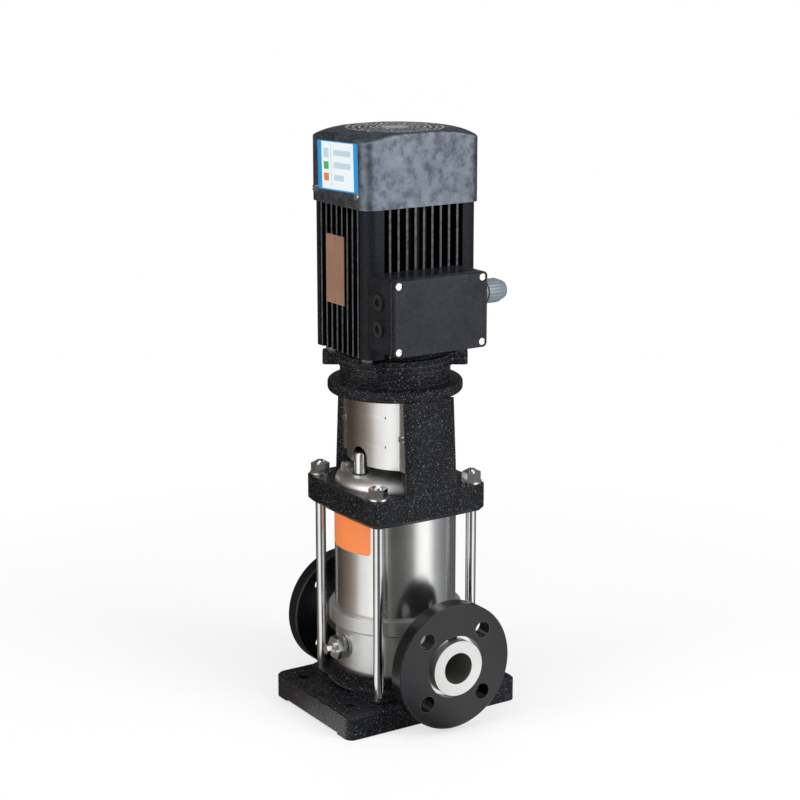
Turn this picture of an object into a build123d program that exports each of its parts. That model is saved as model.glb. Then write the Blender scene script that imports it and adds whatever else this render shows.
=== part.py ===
"""Vertical multistage pump with in-line flanged ports and a finned electric motor.

Millimetres, +Z up. The origin is on the pump's axis, in the plane that the base stands on.
+X is the discharge port's axis, and -Y is the side with the drain and priming plugs.
"""
import math
import os

from build123d import *

os.makedirs("parts", exist_ok=True)

QUARTER_TURN = 90      # degrees

# Fits between pieces
SLIP = 0.05            # radial gap of a piece pushed into its seat
RUNNING = 0.06         # radial gap of a journal or a spindle in its bore
FREE = 0.4             # gap between turning and fixed pieces
COVER_GAP = 0.3        # gap round covers and loose flanges
BOLT_GAP = 0.4         # radial gap of a bolt in its clearance hole

# Ports and loose flanges
PORT_HEIGHT = 75.0
FACE_TO_FACE = 250.0
PORT_BORE = 35.0
SUCTION_STEP = 1.5     # how much wider the suction passage is where it enters the core, in radius
SUCTION_LEAD = 3.0     # how far that wider part reaches out of the core
STUB_DIAMETER = 61.0
RAISED_FACE = 6.0      # how far the stub's face stands proud of the flange
FLANGE_DIAMETER = 140.0
FLANGE_THICKNESS = 18.0
FLANGE_EDGE = 1.2
BOLT_CIRCLE = 100.0
FLANGE_HOLE = 18.0
FLANGE_HOLES = 4
RING_DEPTH = 2.5       # depth of the retaining ring's groove in the stub
RING_WIDTH = 6.0       # radial width of the retaining ring
RING_THICKNESS = 4.0
RING_SETBACK = 6.0     # from the flange's face to the retaining ring
RING_OPENING = 12.0    # gap between the ends of the retaining ring

# Base
BASE_WIDTH = 160.0     # along X, the direction of the ports
BASE_LENGTH = 220.0    # along Y
BASE_HEIGHT = 27.0
BASE_CORNER = 9.0
BASE_EDGE = 2.5
ANCHOR_X = 100.0
ANCHOR_Y = 180.0
ANCHOR_HOLE = 13.0
FOOT_WIDTH = 25.0
FOOT_RELIEF = 2.0
TABLE_RISE = 4.6       # raised table that carries the tie rods
TABLE_MARGIN = 10.0    # metal round a tie rod in the table
PEDESTAL_WALL = 3.7
PEDESTAL_FLARE = 5.5
PEDESTAL_RISE = 18.0   # pedestal wall above the table
SEAT_DEPTH = 8.0       # how deep the body sits in the pedestal

# Tie rods and their nuts
ROD_SPACING = 120.0
ROD_DIAMETER = 11.4
ROD_GRIP = 18.0        # thread length in the base
ROD_END = 3.0          # rod end above the nut
NUT_FLATS = 18.0
NUT_HEIGHT = 10.0
WASHER_DIAMETER = 23.0
WASHER_THICKNESS = 2.2

# Port body
BODY_RADIUS = 66.5
BODY_GROOVE = 4.0
BODY_GROOVE_DEPTH = 2.5
BODY_HEIGHT = 53.5     # from the body's seat to its groove
BODY_FLOOR = 13.0
COLLAR_RADIUS = 73.2
COLLAR_HEIGHT = 15.5
SLEEVE_RADIUS = 67.0
SLEEVE_WALL = 2.5
SLEEVE_SEAT_DEPTH = 10.5
SPIGOT_HEIGHT = 8.0
SPIGOT_WALL = 4.0
O_RING = 2.6           # section diameter of the sleeve's O-rings
CORE_OUTER = 37.0
CORE_WALL = 4.5
SUPPORT_SETBACK = 2.2  # from the sleeve's lower end up to the inlet support
DRAIN_PAD = 14.0
DRAIN_PAD_RISE = 2.0

# Stages
STAGES = 4
STAGE_PITCH = 27.0
CHAMBER_RADIUS = 58.0
CHAMBER_WALL = 2.0
SUPPORT_HEIGHT = 11.0
SUPPORT_RIM = 4.0
BUSH_RADIUS = 16.0
BUSH_HEIGHT = 8.0
SPIDER_ARM = 2.5
SPIDER_ARMS = 4
NECK_RADIUS = 19.0     # outside of an impeller's neck
NECK_WALL = 2.2
NECK_RING_WIDTH = 3.0
NECK_RING_HEIGHT = 3.0
GUIDE_HEIGHT = 9.0     # guide plate and its vanes, at a chamber's top
GUIDE_VANES = 8
GUIDE_PASSAGE = 6.0    # flow gap between the guide plate and the chamber's wall
GUIDE_INNER = 24.0
GUIDE_PLATE = 1.5
VANE = 2.0
IMPELLER_RADIUS = 48.0
SHROUD = 1.5
IMPELLER_WIDTH = 7.5   # between the shrouds
IMPELLER_VANES = 6
IMPELLER_LIFT = 4.0    # from a chamber's foot to the impeller's lower shroud
VANE_SWEEP = 40.0      # angle from a vane's root to its tip
VANE_BEND = 28.8       # radius of the point that a vane bends through
HUB_RADIUS = 12.0
HUB_END = 1.5          # hub above the upper shroud
SHAFT_RADIUS = 8.0
SPACER_RADIUS = 11.0
LOCK_NUT_FLATS = 24.0
LOCK_NUT_HEIGHT = 6.0
OUTLET_HEIGHT = 7.0
OUTLET_SLOTS = 8
OUTLET_SLOT = 20.0
OUTLET_CUT = 6.0       # radial depth of an outlet slot

# Pump head cover and shaft seal
HEAD_RIM_WIDTH = 3.0
HEAD_RIM = 6.0
DOME_INSET = 1.0       # dome's radius under the sleeve's
DOME_STEP = 11.0       # straight wall under the dome
DOME_RISE = 22.0
HEAD_WALL = 4.5
SEAL_BOSS_RADIUS = 24.0
SEAL_BOSS_RISE = 11.0
SEAL_BORE = 17.0
SEAT_HEIGHT = 7.0
SEAT_BORE = 10.5
SEAL_HEAD_RADIUS = 14.6
SEAL_HEAD_HEIGHT = 17.0
GLAND_RADIUS = 23.0
GLAND_HEIGHT = 4.0
GLAND_SPIGOT = 3.0

# Priming plug, vent screw and drain plug
PRIMING_X = 6.0
PRIMING_Y = -48.0
PRIMING_BOSS = 10.0
PRIMING_BOSS_RISE = 13.5
PRIMING_RADIUS = 7.3
PRIMING_HEIGHT = 23.0
PRIMING_THREAD = 5.5
PRIMING_THREAD_LENGTH = 9.0
PRIMING_SOCKET = 6.0   # across the flats of its hexagon socket
SOCKET_DEPTH = 5.0
VENT_X = -21.5
VENT_RISE = 14.2
VENT_FACE = -53.0
VENT_LENGTH = 20.0
VENT_BOSS = 6.5
VENT_STEM = 2.6
VENT_DEPTH = 9.0
VENT_HEAD = 4.4
VENT_HEAD_HEIGHT = 3.0
SEAL_THICKNESS = 1.2
SEAL_WIDTH = 3.5
DRAIN_FLANGE = 13.0
DRAIN_FLANGE_THICKNESS = 2.5
DRAIN_FLATS = 23.0
DRAIN_HEX = 8.0
DRAIN_NOSE = 7.5
DRAIN_NOSE_LENGTH = 3.5
DRAIN_THREAD = 9.0
SPINDLE_RADIUS = 4.5
SPINDLE_FLATS = 9.0
SPINDLE_HEAD = 7.0
SPINDLE_TAIL = 3.0

# Motor stool
PLATE_MARGIN = 12.5    # from a tie rod's axis to the plate's corner
PLATE_BULGE = 3.0
PLATE_CORNER = 12.0
PLATE_THICKNESS = 30.5
PLATE_CHAMFER = 4.0
PLATE_EDGE = 1.5
LEG_HEIGHT = 100.5
LEG_FOOT = 75.0        # leg's outer face from the axis, on the plate
LEG_TOP = 68.5
LEG_FACE = 23.5        # half width of a leg's flat outer face
LEG_HALF = 32.5        # half width over a leg's corners
LEG_BEVEL = 3.0
LEG_INNER = 58.0
THROAT = 28.0          # height over which the legs close in to their inner radius
STOOL_COLLAR = 73.5
STOOL_COLLAR_HEIGHT = 13.5
STOOL_COLLAR_EDGE = 4.5
STOOL_NECK = 60.0
STOOL_NECK_HEIGHT = 16.0
STOOL_FLANGE = 6.5
MOTOR_FLANGE_RADIUS = 62.0
MOTOR_FLANGE = 6.5
EAR_INSET_X = 19.0     # from the motor frame's sides in to the bolts of its flange
EAR_INSET_Y = 12.5
EAR_WIDTH = 24.0
EAR_LENGTH = 34.0
EAR_END = 10.5         # ear beyond its bolt
EAR_CORNER = 5.0
MOTOR_BOLT = 8.0
BOLT_FLATS = 12.0
BOLT_HEAD = 5.3
REGISTER_RADIUS = 46.0
REGISTER_DEPTH = 3.5

# Coupling guards, which close the stool's two sides
GUARD_SEAT = 27.0      # seat face on a leg, from the axis along Y
GUARD_HALF = 62.6
GUARD_STRIP = 11.0     # width of the flat strip along each edge
GUARD_BULGE = 21.0     # how far the curved part stands out from the strips
GUARD_SHEET = 1.0
GUARD_LIFT = 24.0
GUARD_BEADS = (49.0, 81.0)
BEAD_WIDTH = 2.6
BEAD_RISE = 1.2
BEAD_HALF = 40.0
ARCH_X = 5.0
ARCH_RADIUS = 12.5
ARCH_RISE = 31.0
GUARD_SCREW_RISE = 60.0

# Split coupling
COUPLING_RADIUS = 21.0
COUPLING_LENGTH = 50.0
COUPLING_LIFT = 10.0   # above the seal boss
COUPLING_WIDTH = 58.0
COUPLING_DEPTH = 18.0
COUPLING_SLIT = 1.2
COUPLING_SCREW = 6.0
COUPLING_SCREW_X = 50.0
COUPLING_SCREW_Z = 24.0
COUPLING_HEAD = 10.0
COUPLING_HEAD_HEIGHT = 6.0

# Small screws on the covers
SCREW_DIAMETER = 4.0
SCREW_HEAD = 7.4
SCREW_HEAD_HEIGHT = 2.6
SCREW_LENGTH = 9.0
SCREW_SLOT = 1.0
SLOT_DEPTH = 1.2

# Motor
FRAME_HALF_X = 56.0
FRAME_HALF_Y = 69.5
FRAME_CORNER = 13.0
FRAME_CORE = 51.0
FRAME_BORE = 47.0
FRAME_GAP = 6.5        # between the motor's flange and its finned frame
FRAME_HEIGHT = 156.5
LOBE_INSET_X = 15.5     # from the frame's sides in to the four solid corner lobes
LOBE_INSET_Y = 20.5
WEB = 9.0
FIN_PITCH = 10.5
FIN_THICKNESS = 2.4
X_FINS = 8
Y_FINS = 9
LUG_HEIGHT = 22.0
LUG_LENGTH = 13.0
LUG_DEPTH = 13.0
STATOR_BORE = 28.0
STATOR_LENGTH = 75.0
STATOR_RISE = 35.0     # above the frame's foot
STATOR_SLOTS = 18
STATOR_SLOT = 4.0
STATOR_TOOTH = 13.0
WINDING_HEIGHT = 15.0
WINDING_INNER = 31.0
WINDING_OUTER = 43.0
ROTOR_GAP = 0.5
MOTOR_SHAFT_RADIUS = 9.5
SHAFT_HOLE = 12.0
BEARING_BORE = 10.0
BEARING_RADIUS = 23.5
BEARING_WIDTH = 14.0
RACE_INNER = 13.0
RACE_OUTER = 20.2
BALLS = 8
BALL_RADIUS = 3.3
ROTOR_SHAFT_RADIUS = 14.0
SHIELD_SPIGOT = 4.0
SHIELD_HUB = 29.0
SHIELD_RIM = 53.5
FAN_RADIUS = 50.0
FAN_HUB = 16.0
FAN_HEIGHT = 18.0
FAN_PLATE = 2.0
FAN_BLADES = 8
FAN_BLADE = 2.5
FAN_GAP = 14.0         # from the upper shield to the fan
COWL_OVERHANG_X = 1.0   # how far the fan cover stands out over the frame's sides
COWL_OVERHANG_Y = 3.0
COWL_CORNER = 13.0
COWL_WALL = 1.8
COWL_HEIGHT = 77.5
COWL_EDGE = 3.0
COWL_FLAT = 50.0       # radius of the flat middle of its top
COWL_ARC = 85.0        # radius of the arc in which the top falls to the corners
COWL_LIFT = 0.5
COWL_SCREW_X = 41.5
COWL_SCREW_RISE = 14.0
GRILLE_CENTRE = 19.0
GRILLE_RINGS = 6
GRILLE_HOLE = 3.6
GRILLE_PITCH = 6.4
RATING_WIDTH = 36.0
RATING_HEIGHT = 73.5
RATING_THICKNESS = 0.8
RATING_X = -9.0
RATING_RISE = 87.5
RIVET = 2.4
RIVET_HEAD = 0.8
RIVET_INSET = 3.6

# Terminal box
BOX_WIDTH = 115.5
BOX_HEIGHT = 80.5
BOX_DEPTH = 40.0
BOX_CORNER = 5.0
BOX_WALL = 3.0
BOX_Y = -8.7
BOX_RISE = 51.0
BOX_PAD = 60.0
GASKET = 1.0
LID_THICKNESS = 6.0
LID_EDGE = 1.5
LID_RECESS = 4.6
LID_RECESS_DEPTH = 4.0
LID_SCREW_INSET = 6.0
POST_RADIUS = 5.0
LEAD_HOLE = 12.0
BOARD_WIDTH = 34.0
BOARD_HEIGHT = 46.0
BOARD_DEPTH = 10.0
STUD_RADIUS = 2.0
STUD_LENGTH = 9.0
STUD_PITCH = 12.0
CABLE_GLAND_DEPTH = 25.0
CABLE_GLAND_RISE = 14.2
CABLE_GLAND_THREAD = 9.8
CABLE_GLAND_FLATS = 24.0
CABLE_GLAND_HEX = 6.0
CABLE_GLAND_NECK = 11.0
CABLE_GLAND_NECK_LENGTH = 3.0
CABLE_GLAND_NUT = 13.0
CABLE_GLAND_NUT_LENGTH = 18.0
CABLE_GLAND_CONE = 8.0
CABLE_GLAND_TIP = 9.5
CABLE_BORE = 5.0
PLUG_SPACING = 28.0
PLUG_DEPTH = 17.7
PLUG_HEAD = 8.6
PLUG_THREAD = 7.0
PLUG_HEAD_HEIGHT = 2.5
PLUG_SOCKET = 8.0      # across the flats of its hexagon socket

# Heights and radii that follow from the sizes above
rod_foot = BASE_HEIGHT + TABLE_RISE
pedestal_top = rod_foot + PEDESTAL_RISE
body_seat = pedestal_top - SEAT_DEPTH
body_floor = body_seat + BODY_FLOOR
groove_bottom = body_seat + BODY_HEIGHT
collar_bottom = groove_bottom + BODY_GROOVE
collar_top = collar_bottom + COLLAR_HEIGHT
sleeve_bottom = collar_top - SLEEVE_SEAT_DEPTH
sleeve_inner = SLEEVE_RADIUS - SLEEVE_WALL
spigot_radius = sleeve_inner - SLIP
annulus_outer = spigot_radius - SPIGOT_WALL
core_inner = CORE_OUTER - CORE_WALL
seat_radius = BODY_RADIUS + COVER_GAP
pedestal_radius = seat_radius + PEDESTAL_WALL
drain_pad_face = BODY_RADIUS + DRAIN_PAD_RISE
stub_radius = STUB_DIAMETER / 2
port_face = FACE_TO_FACE / 2
flange_face = port_face - RAISED_FACE
ring_front = flange_face - RING_SETBACK
ring_inner = stub_radius - RING_DEPTH
ring_outer = ring_inner + RING_WIDTH
rod_radius = ROD_DIAMETER / 2

support_bottom = sleeve_bottom + SUPPORT_SETBACK
first_stage = support_bottom + SUPPORT_HEIGHT
stages_top = first_stage + STAGES * STAGE_PITCH
outlet_top = stages_top + OUTLET_HEIGHT
sleeve_top = outlet_top + SPIGOT_HEIGHT
neck_ring_inner = NECK_RADIUS + FREE
neck_ring_outer = neck_ring_inner + NECK_RING_WIDTH
impeller_eye = NECK_RADIUS - NECK_WALL
hub_foot = IMPELLER_LIFT + SHROUD
upper_shroud = hub_foot + IMPELLER_WIDTH
hub_top = upper_shroud + SHROUD + HUB_END
lock_nut_bottom = stages_top + hub_foot

head_rim_top = sleeve_top + HEAD_RIM
dome_radius = SLEEVE_RADIUS - DOME_INSET
head_rim_radius = dome_radius + HEAD_RIM_WIDTH
plate_top = head_rim_top + DOME_STEP
dome_top = plate_top + DOME_RISE
seal_boss_top = dome_top + SEAL_BOSS_RISE
seat_top = seal_boss_top - GLAND_SPIGOT
seat_bottom = seat_top - SEAT_HEIGHT
seal_head_top = seat_bottom - FREE
priming_seat = plate_top + PRIMING_BOSS_RISE
vent_height = plate_top + VENT_RISE

plate_bottom = plate_top - PLATE_THICKNESS
plate_half = ROD_SPACING / 2 + PLATE_MARGIN
nut_seat = plate_top + WASHER_THICKNESS
opening_radius = dome_radius + BOLT_GAP
leg_top = plate_top + LEG_HEIGHT
stool_collar_top = leg_top + STOOL_COLLAR_HEIGHT
stool_flange_bottom = stool_collar_top + STOOL_NECK_HEIGHT
motor_face = stool_flange_bottom + STOOL_FLANGE
motor_flange_top = motor_face + MOTOR_FLANGE
ear_x = FRAME_HALF_X - EAR_INSET_X
ear_y = FRAME_HALF_Y - EAR_INSET_Y
lobe_x = FRAME_HALF_X - LOBE_INSET_X
lobe_y = FRAME_HALF_Y - LOBE_INSET_Y
frame_bottom = motor_flange_top + FRAME_GAP
frame_top = frame_bottom + FRAME_HEIGHT
guard_bottom = plate_top + GUARD_LIFT
guard_top = leg_top - COVER_GAP
guard_chord = GUARD_HALF - GUARD_STRIP
guard_radius = (guard_chord ** 2 + GUARD_BULGE ** 2) / (2 * GUARD_BULGE)
guard_centre = guard_radius - GUARD_SEAT - GUARD_BULGE
guard_screw_x = GUARD_HALF - GUARD_STRIP / 2
guard_screw_height = plate_top + GUARD_SCREW_RISE
coupling_bottom = seal_boss_top + COUPLING_LIFT
coupling_top = coupling_bottom + COUPLING_LENGTH
shaft_joint = (coupling_bottom + coupling_top) / 2

lower_bearing = motor_face + BEARING_WIDTH / 2
upper_bearing = frame_top - BEARING_WIDTH / 2 - FREE
stator_bottom = frame_bottom + STATOR_RISE
stator_top = stator_bottom + STATOR_LENGTH
fan_bottom = frame_top + SHIELD_SPIGOT + FAN_GAP
fan_top = fan_bottom + FAN_HEIGHT
cowl_half_x = FRAME_HALF_X + COWL_OVERHANG_X
cowl_half_y = FRAME_HALF_Y + COWL_OVERHANG_Y
cowl_bottom = frame_top + COWL_LIFT
cowl_top = cowl_bottom + COWL_HEIGHT
cowl_reach = math.hypot(cowl_half_x, cowl_half_y)
crown_angle = math.degrees(math.asin((cowl_reach - COWL_FLAT) / COWL_ARC))
cowl_screw_height = frame_top + COWL_SCREW_RISE
box_height = frame_bottom + BOX_RISE
box_back = FRAME_HALF_X
box_front = box_back + BOX_DEPTH
lid_back = box_front + GASKET
lid_face = lid_back + LID_THICKNESS
box_low_y = BOX_Y - BOX_WIDTH / 2
box_high_y = BOX_Y + BOX_WIDTH / 2
lid_screw_y = BOX_WIDTH - 2 * LID_SCREW_INSET
lid_screw_z = BOX_HEIGHT - 2 * LID_SCREW_INSET
gland_x = box_back + CABLE_GLAND_DEPTH
gland_z = box_height + CABLE_GLAND_RISE
plug_x = box_back + PLUG_DEPTH
rating_height = frame_bottom + RATING_RISE
drain_flange_face = drain_pad_face + SEAL_THICKNESS
drain_hex_face = drain_flange_face + DRAIN_FLANGE_THICKNESS
drain_nose_face = drain_hex_face + DRAIN_HEX
drain_tip = drain_nose_face + DRAIN_NOSE_LENGTH


def finish(piece, node):
    """Label a finished piece and write its STEP file."""
    piece.part.label = node
    export_step(piece.part, f"parts/{node}.step")


def along_y(x, y, z, side):
    """A plane at a point whose normal runs along Y, towards the given side."""
    return Plane(origin=(x, y, z), x_dir=(1, 0, 0), z_dir=(0, side, 0))


def along_x(x, side=1):
    """A plane square to the ports' axis at the given X, looking towards the given side."""
    return Plane(origin=(x, 0, PORT_HEIGHT), x_dir=(0, side, 0), z_dir=(side, 0, 0))


def tie_rod_spots():
    """Places of the four tie rods."""
    return GridLocations(ROD_SPACING, ROD_SPACING, 2, 2)


def ear_spots():
    """Places of the motor flange's four bolts, each turned to point away from the axis."""
    spots = []
    for x in (-ear_x, ear_x):
        for y in (-ear_y, ear_y):
            spots.append(Location((x, y), math.degrees(math.atan2(y, x))))
    return Locations(spots)


def across_flats(width):
    """Circumscribed radius of a hexagon with the given width across its flats."""
    return width / 2 / math.cos(math.pi / 6)


# Base casting with a pedestal round the port body
with BuildPart() as base_plate:
    with BuildSketch(Plane.XY):
        RectangleRounded(BASE_WIDTH, BASE_LENGTH, BASE_CORNER)
    extrude(amount=BASE_HEIGHT)
    chamfer(base_plate.faces().sort_by(Axis.Z)[-1].edges(), BASE_EDGE)
    with BuildSketch(Plane.XY.offset(BASE_HEIGHT)):
        table = ROD_SPACING + 2 * TABLE_MARGIN
        RectangleRounded(table, table, TABLE_MARGIN)
    extrude(amount=TABLE_RISE)
    with BuildSketch(Plane.XZ):
        with BuildLine():
            foot = (pedestal_radius + PEDESTAL_FLARE, rod_foot)
            turn = (pedestal_radius, rod_foot + PEDESTAL_FLARE)
            Polyline(foot, (0, rod_foot), (0, pedestal_top), (pedestal_radius, pedestal_top), turn)
            bend = PEDESTAL_FLARE * (1 - math.sqrt(0.5))
            ThreePointArc(turn, (pedestal_radius + bend, rod_foot + bend), foot)
        make_face()
    revolve(axis=Axis.Z)
    with BuildSketch(Plane.XY.offset(body_seat)):
        Circle(seat_radius)
    extrude(amount=SEAT_DEPTH, mode=Mode.SUBTRACT)
    with BuildSketch(along_x(0)):
        Circle(stub_radius + COVER_GAP)
    extrude(amount=port_face, both=True, mode=Mode.SUBTRACT)
    with BuildSketch(Plane.XY):
        Rectangle(BASE_WIDTH - 2 * FOOT_WIDTH, BASE_LENGTH)
    extrude(amount=FOOT_RELIEF, mode=Mode.SUBTRACT)
    with BuildSketch(Plane.XY):
        with GridLocations(ANCHOR_X, ANCHOR_Y, 2, 2):
            Circle(ANCHOR_HOLE / 2)
    extrude(amount=BASE_HEIGHT, mode=Mode.SUBTRACT)
    with BuildSketch(Plane.XY.offset(rod_foot - ROD_GRIP)):
        with tie_rod_spots():
            Circle(rod_radius + SLIP)
    extrude(amount=ROD_GRIP, mode=Mode.SUBTRACT)
finish(base_plate, "base_plate")

# Port body: suction chamber in the middle, discharge annulus round it
with BuildPart() as pump_body:
    with BuildSketch(Plane.XZ):
        groove_radius = BODY_RADIUS - BODY_GROOVE_DEPTH
        Polygon(
            (0, body_seat), (BODY_RADIUS, body_seat), (BODY_RADIUS, groove_bottom),
            (groove_radius, groove_bottom), (groove_radius, collar_bottom),
            (COLLAR_RADIUS, collar_bottom), (COLLAR_RADIUS, collar_top),
            (SLEEVE_RADIUS + SLIP, collar_top), (SLEEVE_RADIUS + SLIP, sleeve_bottom),
            (spigot_radius, sleeve_bottom), (spigot_radius, sleeve_bottom + SPIGOT_HEIGHT),
            (0, sleeve_bottom + SPIGOT_HEIGHT), align=None,
        )
    revolve(axis=Axis.Z)
    with BuildSketch(along_x(0)):
        Circle(stub_radius)
    extrude(amount=port_face, both=True)
    with BuildSketch(along_y(0, 0, PORT_HEIGHT, -1)):
        Circle(DRAIN_PAD)
    extrude(amount=drain_pad_face)
    with BuildSketch(Plane.XY.offset(sleeve_bottom)):
        Circle(SLEEVE_RADIUS + SLIP)
        Circle(spigot_radius, mode=Mode.SUBTRACT)
    extrude(amount=SLEEVE_SEAT_DEPTH, mode=Mode.SUBTRACT)
    with BuildSketch(Plane.XZ):
        Polygon(
            (annulus_outer, body_floor), (annulus_outer, 2 * collar_top), (0, 2 * collar_top),
            (0, support_bottom), (CORE_OUTER, support_bottom), (CORE_OUTER, body_floor),
            align=None,
        )
        Polygon(
            (0, body_floor), (core_inner, body_floor), (core_inner, collar_top),
            (0, collar_top), align=None,
        )
    revolve(axis=Axis.Z, mode=Mode.SUBTRACT)
    with BuildSketch(along_x(-core_inner, -1)):
        Circle(PORT_BORE / 2 + CORE_WALL)
    extrude(amount=annulus_outer - core_inner)
    with BuildSketch(along_x(0, -1)):
        Circle(PORT_BORE / 2)
    extrude(amount=port_face, mode=Mode.SUBTRACT)
    with BuildSketch(along_x(0, -1)):
        Circle(PORT_BORE / 2 + SUCTION_STEP)
    extrude(amount=CORE_OUTER + SUCTION_LEAD, mode=Mode.SUBTRACT)
    with BuildSketch(along_x(CORE_OUTER)):
        Circle(PORT_BORE / 2)
    extrude(amount=port_face - CORE_OUTER, mode=Mode.SUBTRACT)
    for side in (-1, 1):
        with BuildSketch(along_x(side * (ring_front + SLIP), -side)):
            Circle(stub_radius + RING_DEPTH)
            Circle(ring_inner, mode=Mode.SUBTRACT)
        extrude(amount=RING_THICKNESS + 2 * SLIP, mode=Mode.SUBTRACT)
    with BuildSketch(Plane.XZ):
        with Locations((spigot_radius - O_RING, sleeve_bottom + SPIGOT_HEIGHT / 2)):
            Rectangle(O_RING + COVER_GAP, O_RING + 2 * SLIP, align=(Align.MIN, Align.CENTER))
    revolve(axis=Axis.Z, mode=Mode.SUBTRACT)
    with BuildSketch(along_y(0, CORE_WALL - annulus_outer, PORT_HEIGHT, -1)):
        Circle(DRAIN_THREAD + SLIP)
    extrude(amount=drain_pad_face, mode=Mode.SUBTRACT)
finish(pump_body, "pump_body")

# Loose flanges, which turn on the stubs, and the split rings that hold them
for node, side in (("inlet_flange", -1), ("outlet_flange", 1)):
    with BuildPart() as flange:
        with BuildSketch(along_x(side * flange_face, -side)):
            Circle(FLANGE_DIAMETER / 2)
        extrude(amount=FLANGE_THICKNESS)
        chamfer(flange.edges().filter_by(GeomType.CIRCLE), FLANGE_EDGE)
        with BuildSketch(along_x(side * flange_face, -side)):
            Circle(stub_radius + COVER_GAP)
            with PolarLocations(BOLT_CIRCLE / 2, FLANGE_HOLES, start_angle=180 / FLANGE_HOLES):
                Circle(FLANGE_HOLE / 2)
        extrude(amount=FLANGE_THICKNESS, mode=Mode.SUBTRACT)
        with BuildSketch(along_x(side * flange_face, -side)):
            Circle(ring_outer + COVER_GAP)
        extrude(amount=RING_SETBACK + RING_THICKNESS + COVER_GAP, mode=Mode.SUBTRACT)
    finish(flange, node)

with BuildPart() as flange_retaining_rings:
    for side in (-1, 1):
        with BuildSketch(along_x(side * ring_front, -side)):
            Circle(ring_outer)
            Circle(ring_inner + SLIP, mode=Mode.SUBTRACT)
            with Locations((0, ring_outer)):
                Rectangle(RING_OPENING, 2 * RING_WIDTH, mode=Mode.SUBTRACT)
        extrude(amount=RING_THICKNESS)
finish(flange_retaining_rings, "flange_retaining_rings")

# Outer sleeve with an O-ring at each end
with BuildPart() as outer_sleeve:
    with BuildSketch(Plane.XY.offset(sleeve_bottom)):
        Circle(SLEEVE_RADIUS)
        Circle(sleeve_inner, mode=Mode.SUBTRACT)
    extrude(amount=sleeve_top - sleeve_bottom)
finish(outer_sleeve, "outer_sleeve")

with BuildPart() as sleeve_o_rings:
    with BuildSketch(Plane.XZ):
        ring_centre = sleeve_inner - O_RING / 2
        lower_ring = sleeve_bottom + SPIGOT_HEIGHT / 2
        upper_ring = sleeve_top - SPIGOT_HEIGHT / 2
        with Locations((ring_centre, lower_ring), (ring_centre, upper_ring)):
            Circle(O_RING / 2)
    revolve(axis=Axis.Z)
finish(sleeve_o_rings, "sleeve_o_rings")

# Motor stool: the square plate that the tie rods pull down, two legs, a collar and a neck
with BuildPart() as motor_stool:
    with BuildSketch(Plane.XY.offset(plate_bottom)) as plate_outline:
        with BuildLine():
            crown = plate_half + PLATE_BULGE
            for x, y in ((0, -1), (1, 0), (0, 1), (-1, 0)):
                start = (plate_half * (x + y), plate_half * (y - x))
                end = (plate_half * (x - y), plate_half * (y + x))
                ThreePointArc(start, (crown * x, crown * y), end)
        make_face()
        fillet(plate_outline.vertices(), PLATE_CORNER)
    extrude(amount=PLATE_THICKNESS)
    chamfer(motor_stool.faces().sort_by(Axis.Z)[0].edges(), PLATE_CHAMFER)
    fillet(motor_stool.faces().sort_by(Axis.Z)[-1].edges(), PLATE_EDGE)
    for side in (-1, 1):
        for height, outer in ((plate_top, LEG_FOOT), (leg_top, LEG_TOP)):
            with BuildSketch(Plane.XY.offset(height)):
                inner = side * SEAL_BOSS_RADIUS
                corner = side * (outer - LEG_BEVEL)
                Polygon(
                    (inner, -GUARD_SEAT), (side * GUARD_HALF, -GUARD_SEAT), (corner, -LEG_HALF),
                    (side * outer, -LEG_FACE), (side * outer, LEG_FACE), (corner, LEG_HALF),
                    (side * GUARD_HALF, GUARD_SEAT), (inner, GUARD_SEAT), align=None,
                )
        loft()
    with BuildSketch(Plane.XZ) as collar_profile:
        Polygon(
            (0, leg_top), (STOOL_COLLAR, leg_top), (STOOL_COLLAR, stool_collar_top),
            (STOOL_NECK, stool_collar_top), (STOOL_NECK, stool_flange_bottom),
            (MOTOR_FLANGE_RADIUS, stool_flange_bottom), (MOTOR_FLANGE_RADIUS, motor_face),
            (0, motor_face), align=None,
        )
        fillet(collar_profile.vertices().group_by(Axis.X)[-1], STOOL_COLLAR_EDGE)
    revolve(axis=Axis.Z)
    with BuildSketch(Plane.XY.offset(stool_flange_bottom)):
        with ear_spots():
            with Locations((EAR_END - EAR_LENGTH / 2, 0)):
                RectangleRounded(EAR_LENGTH, EAR_WIDTH, EAR_CORNER)
    extrude(amount=STOOL_FLANGE)
    with BuildSketch(Plane.XZ):
        ledge = head_rim_radius + COVER_GAP
        throat = plate_top + THROAT
        Polygon(
            (0, plate_bottom), (ledge, plate_bottom), (ledge, head_rim_top),
            (opening_radius, head_rim_top), (opening_radius, plate_top), (LEG_INNER, throat),
            (LEG_INNER, leg_top), (REGISTER_RADIUS + SLIP, stool_collar_top),
            (REGISTER_RADIUS + SLIP, motor_face), (0, motor_face), align=None,
        )
    revolve(axis=Axis.Z, mode=Mode.SUBTRACT)
    with BuildSketch(Plane.XY.offset(plate_bottom)):
        with tie_rod_spots():
            Circle(rod_radius + BOLT_GAP)
    extrude(amount=PLATE_THICKNESS, mode=Mode.SUBTRACT)
    with BuildSketch(Plane.XY.offset(stool_flange_bottom)):
        with ear_spots():
            Circle(MOTOR_BOLT / 2 + SLIP)
    extrude(amount=STOOL_FLANGE, mode=Mode.SUBTRACT)
    for side in (-1, 1):
        with BuildSketch(along_y(0, side * GUARD_SEAT, guard_screw_height, -side)):
            with GridLocations(2 * guard_screw_x, 0, 2, 1):
                Circle(SCREW_DIAMETER / 2 + SLIP)
        extrude(amount=SCREW_LENGTH, mode=Mode.SUBTRACT)
finish(motor_stool, "motor_stool")

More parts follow.
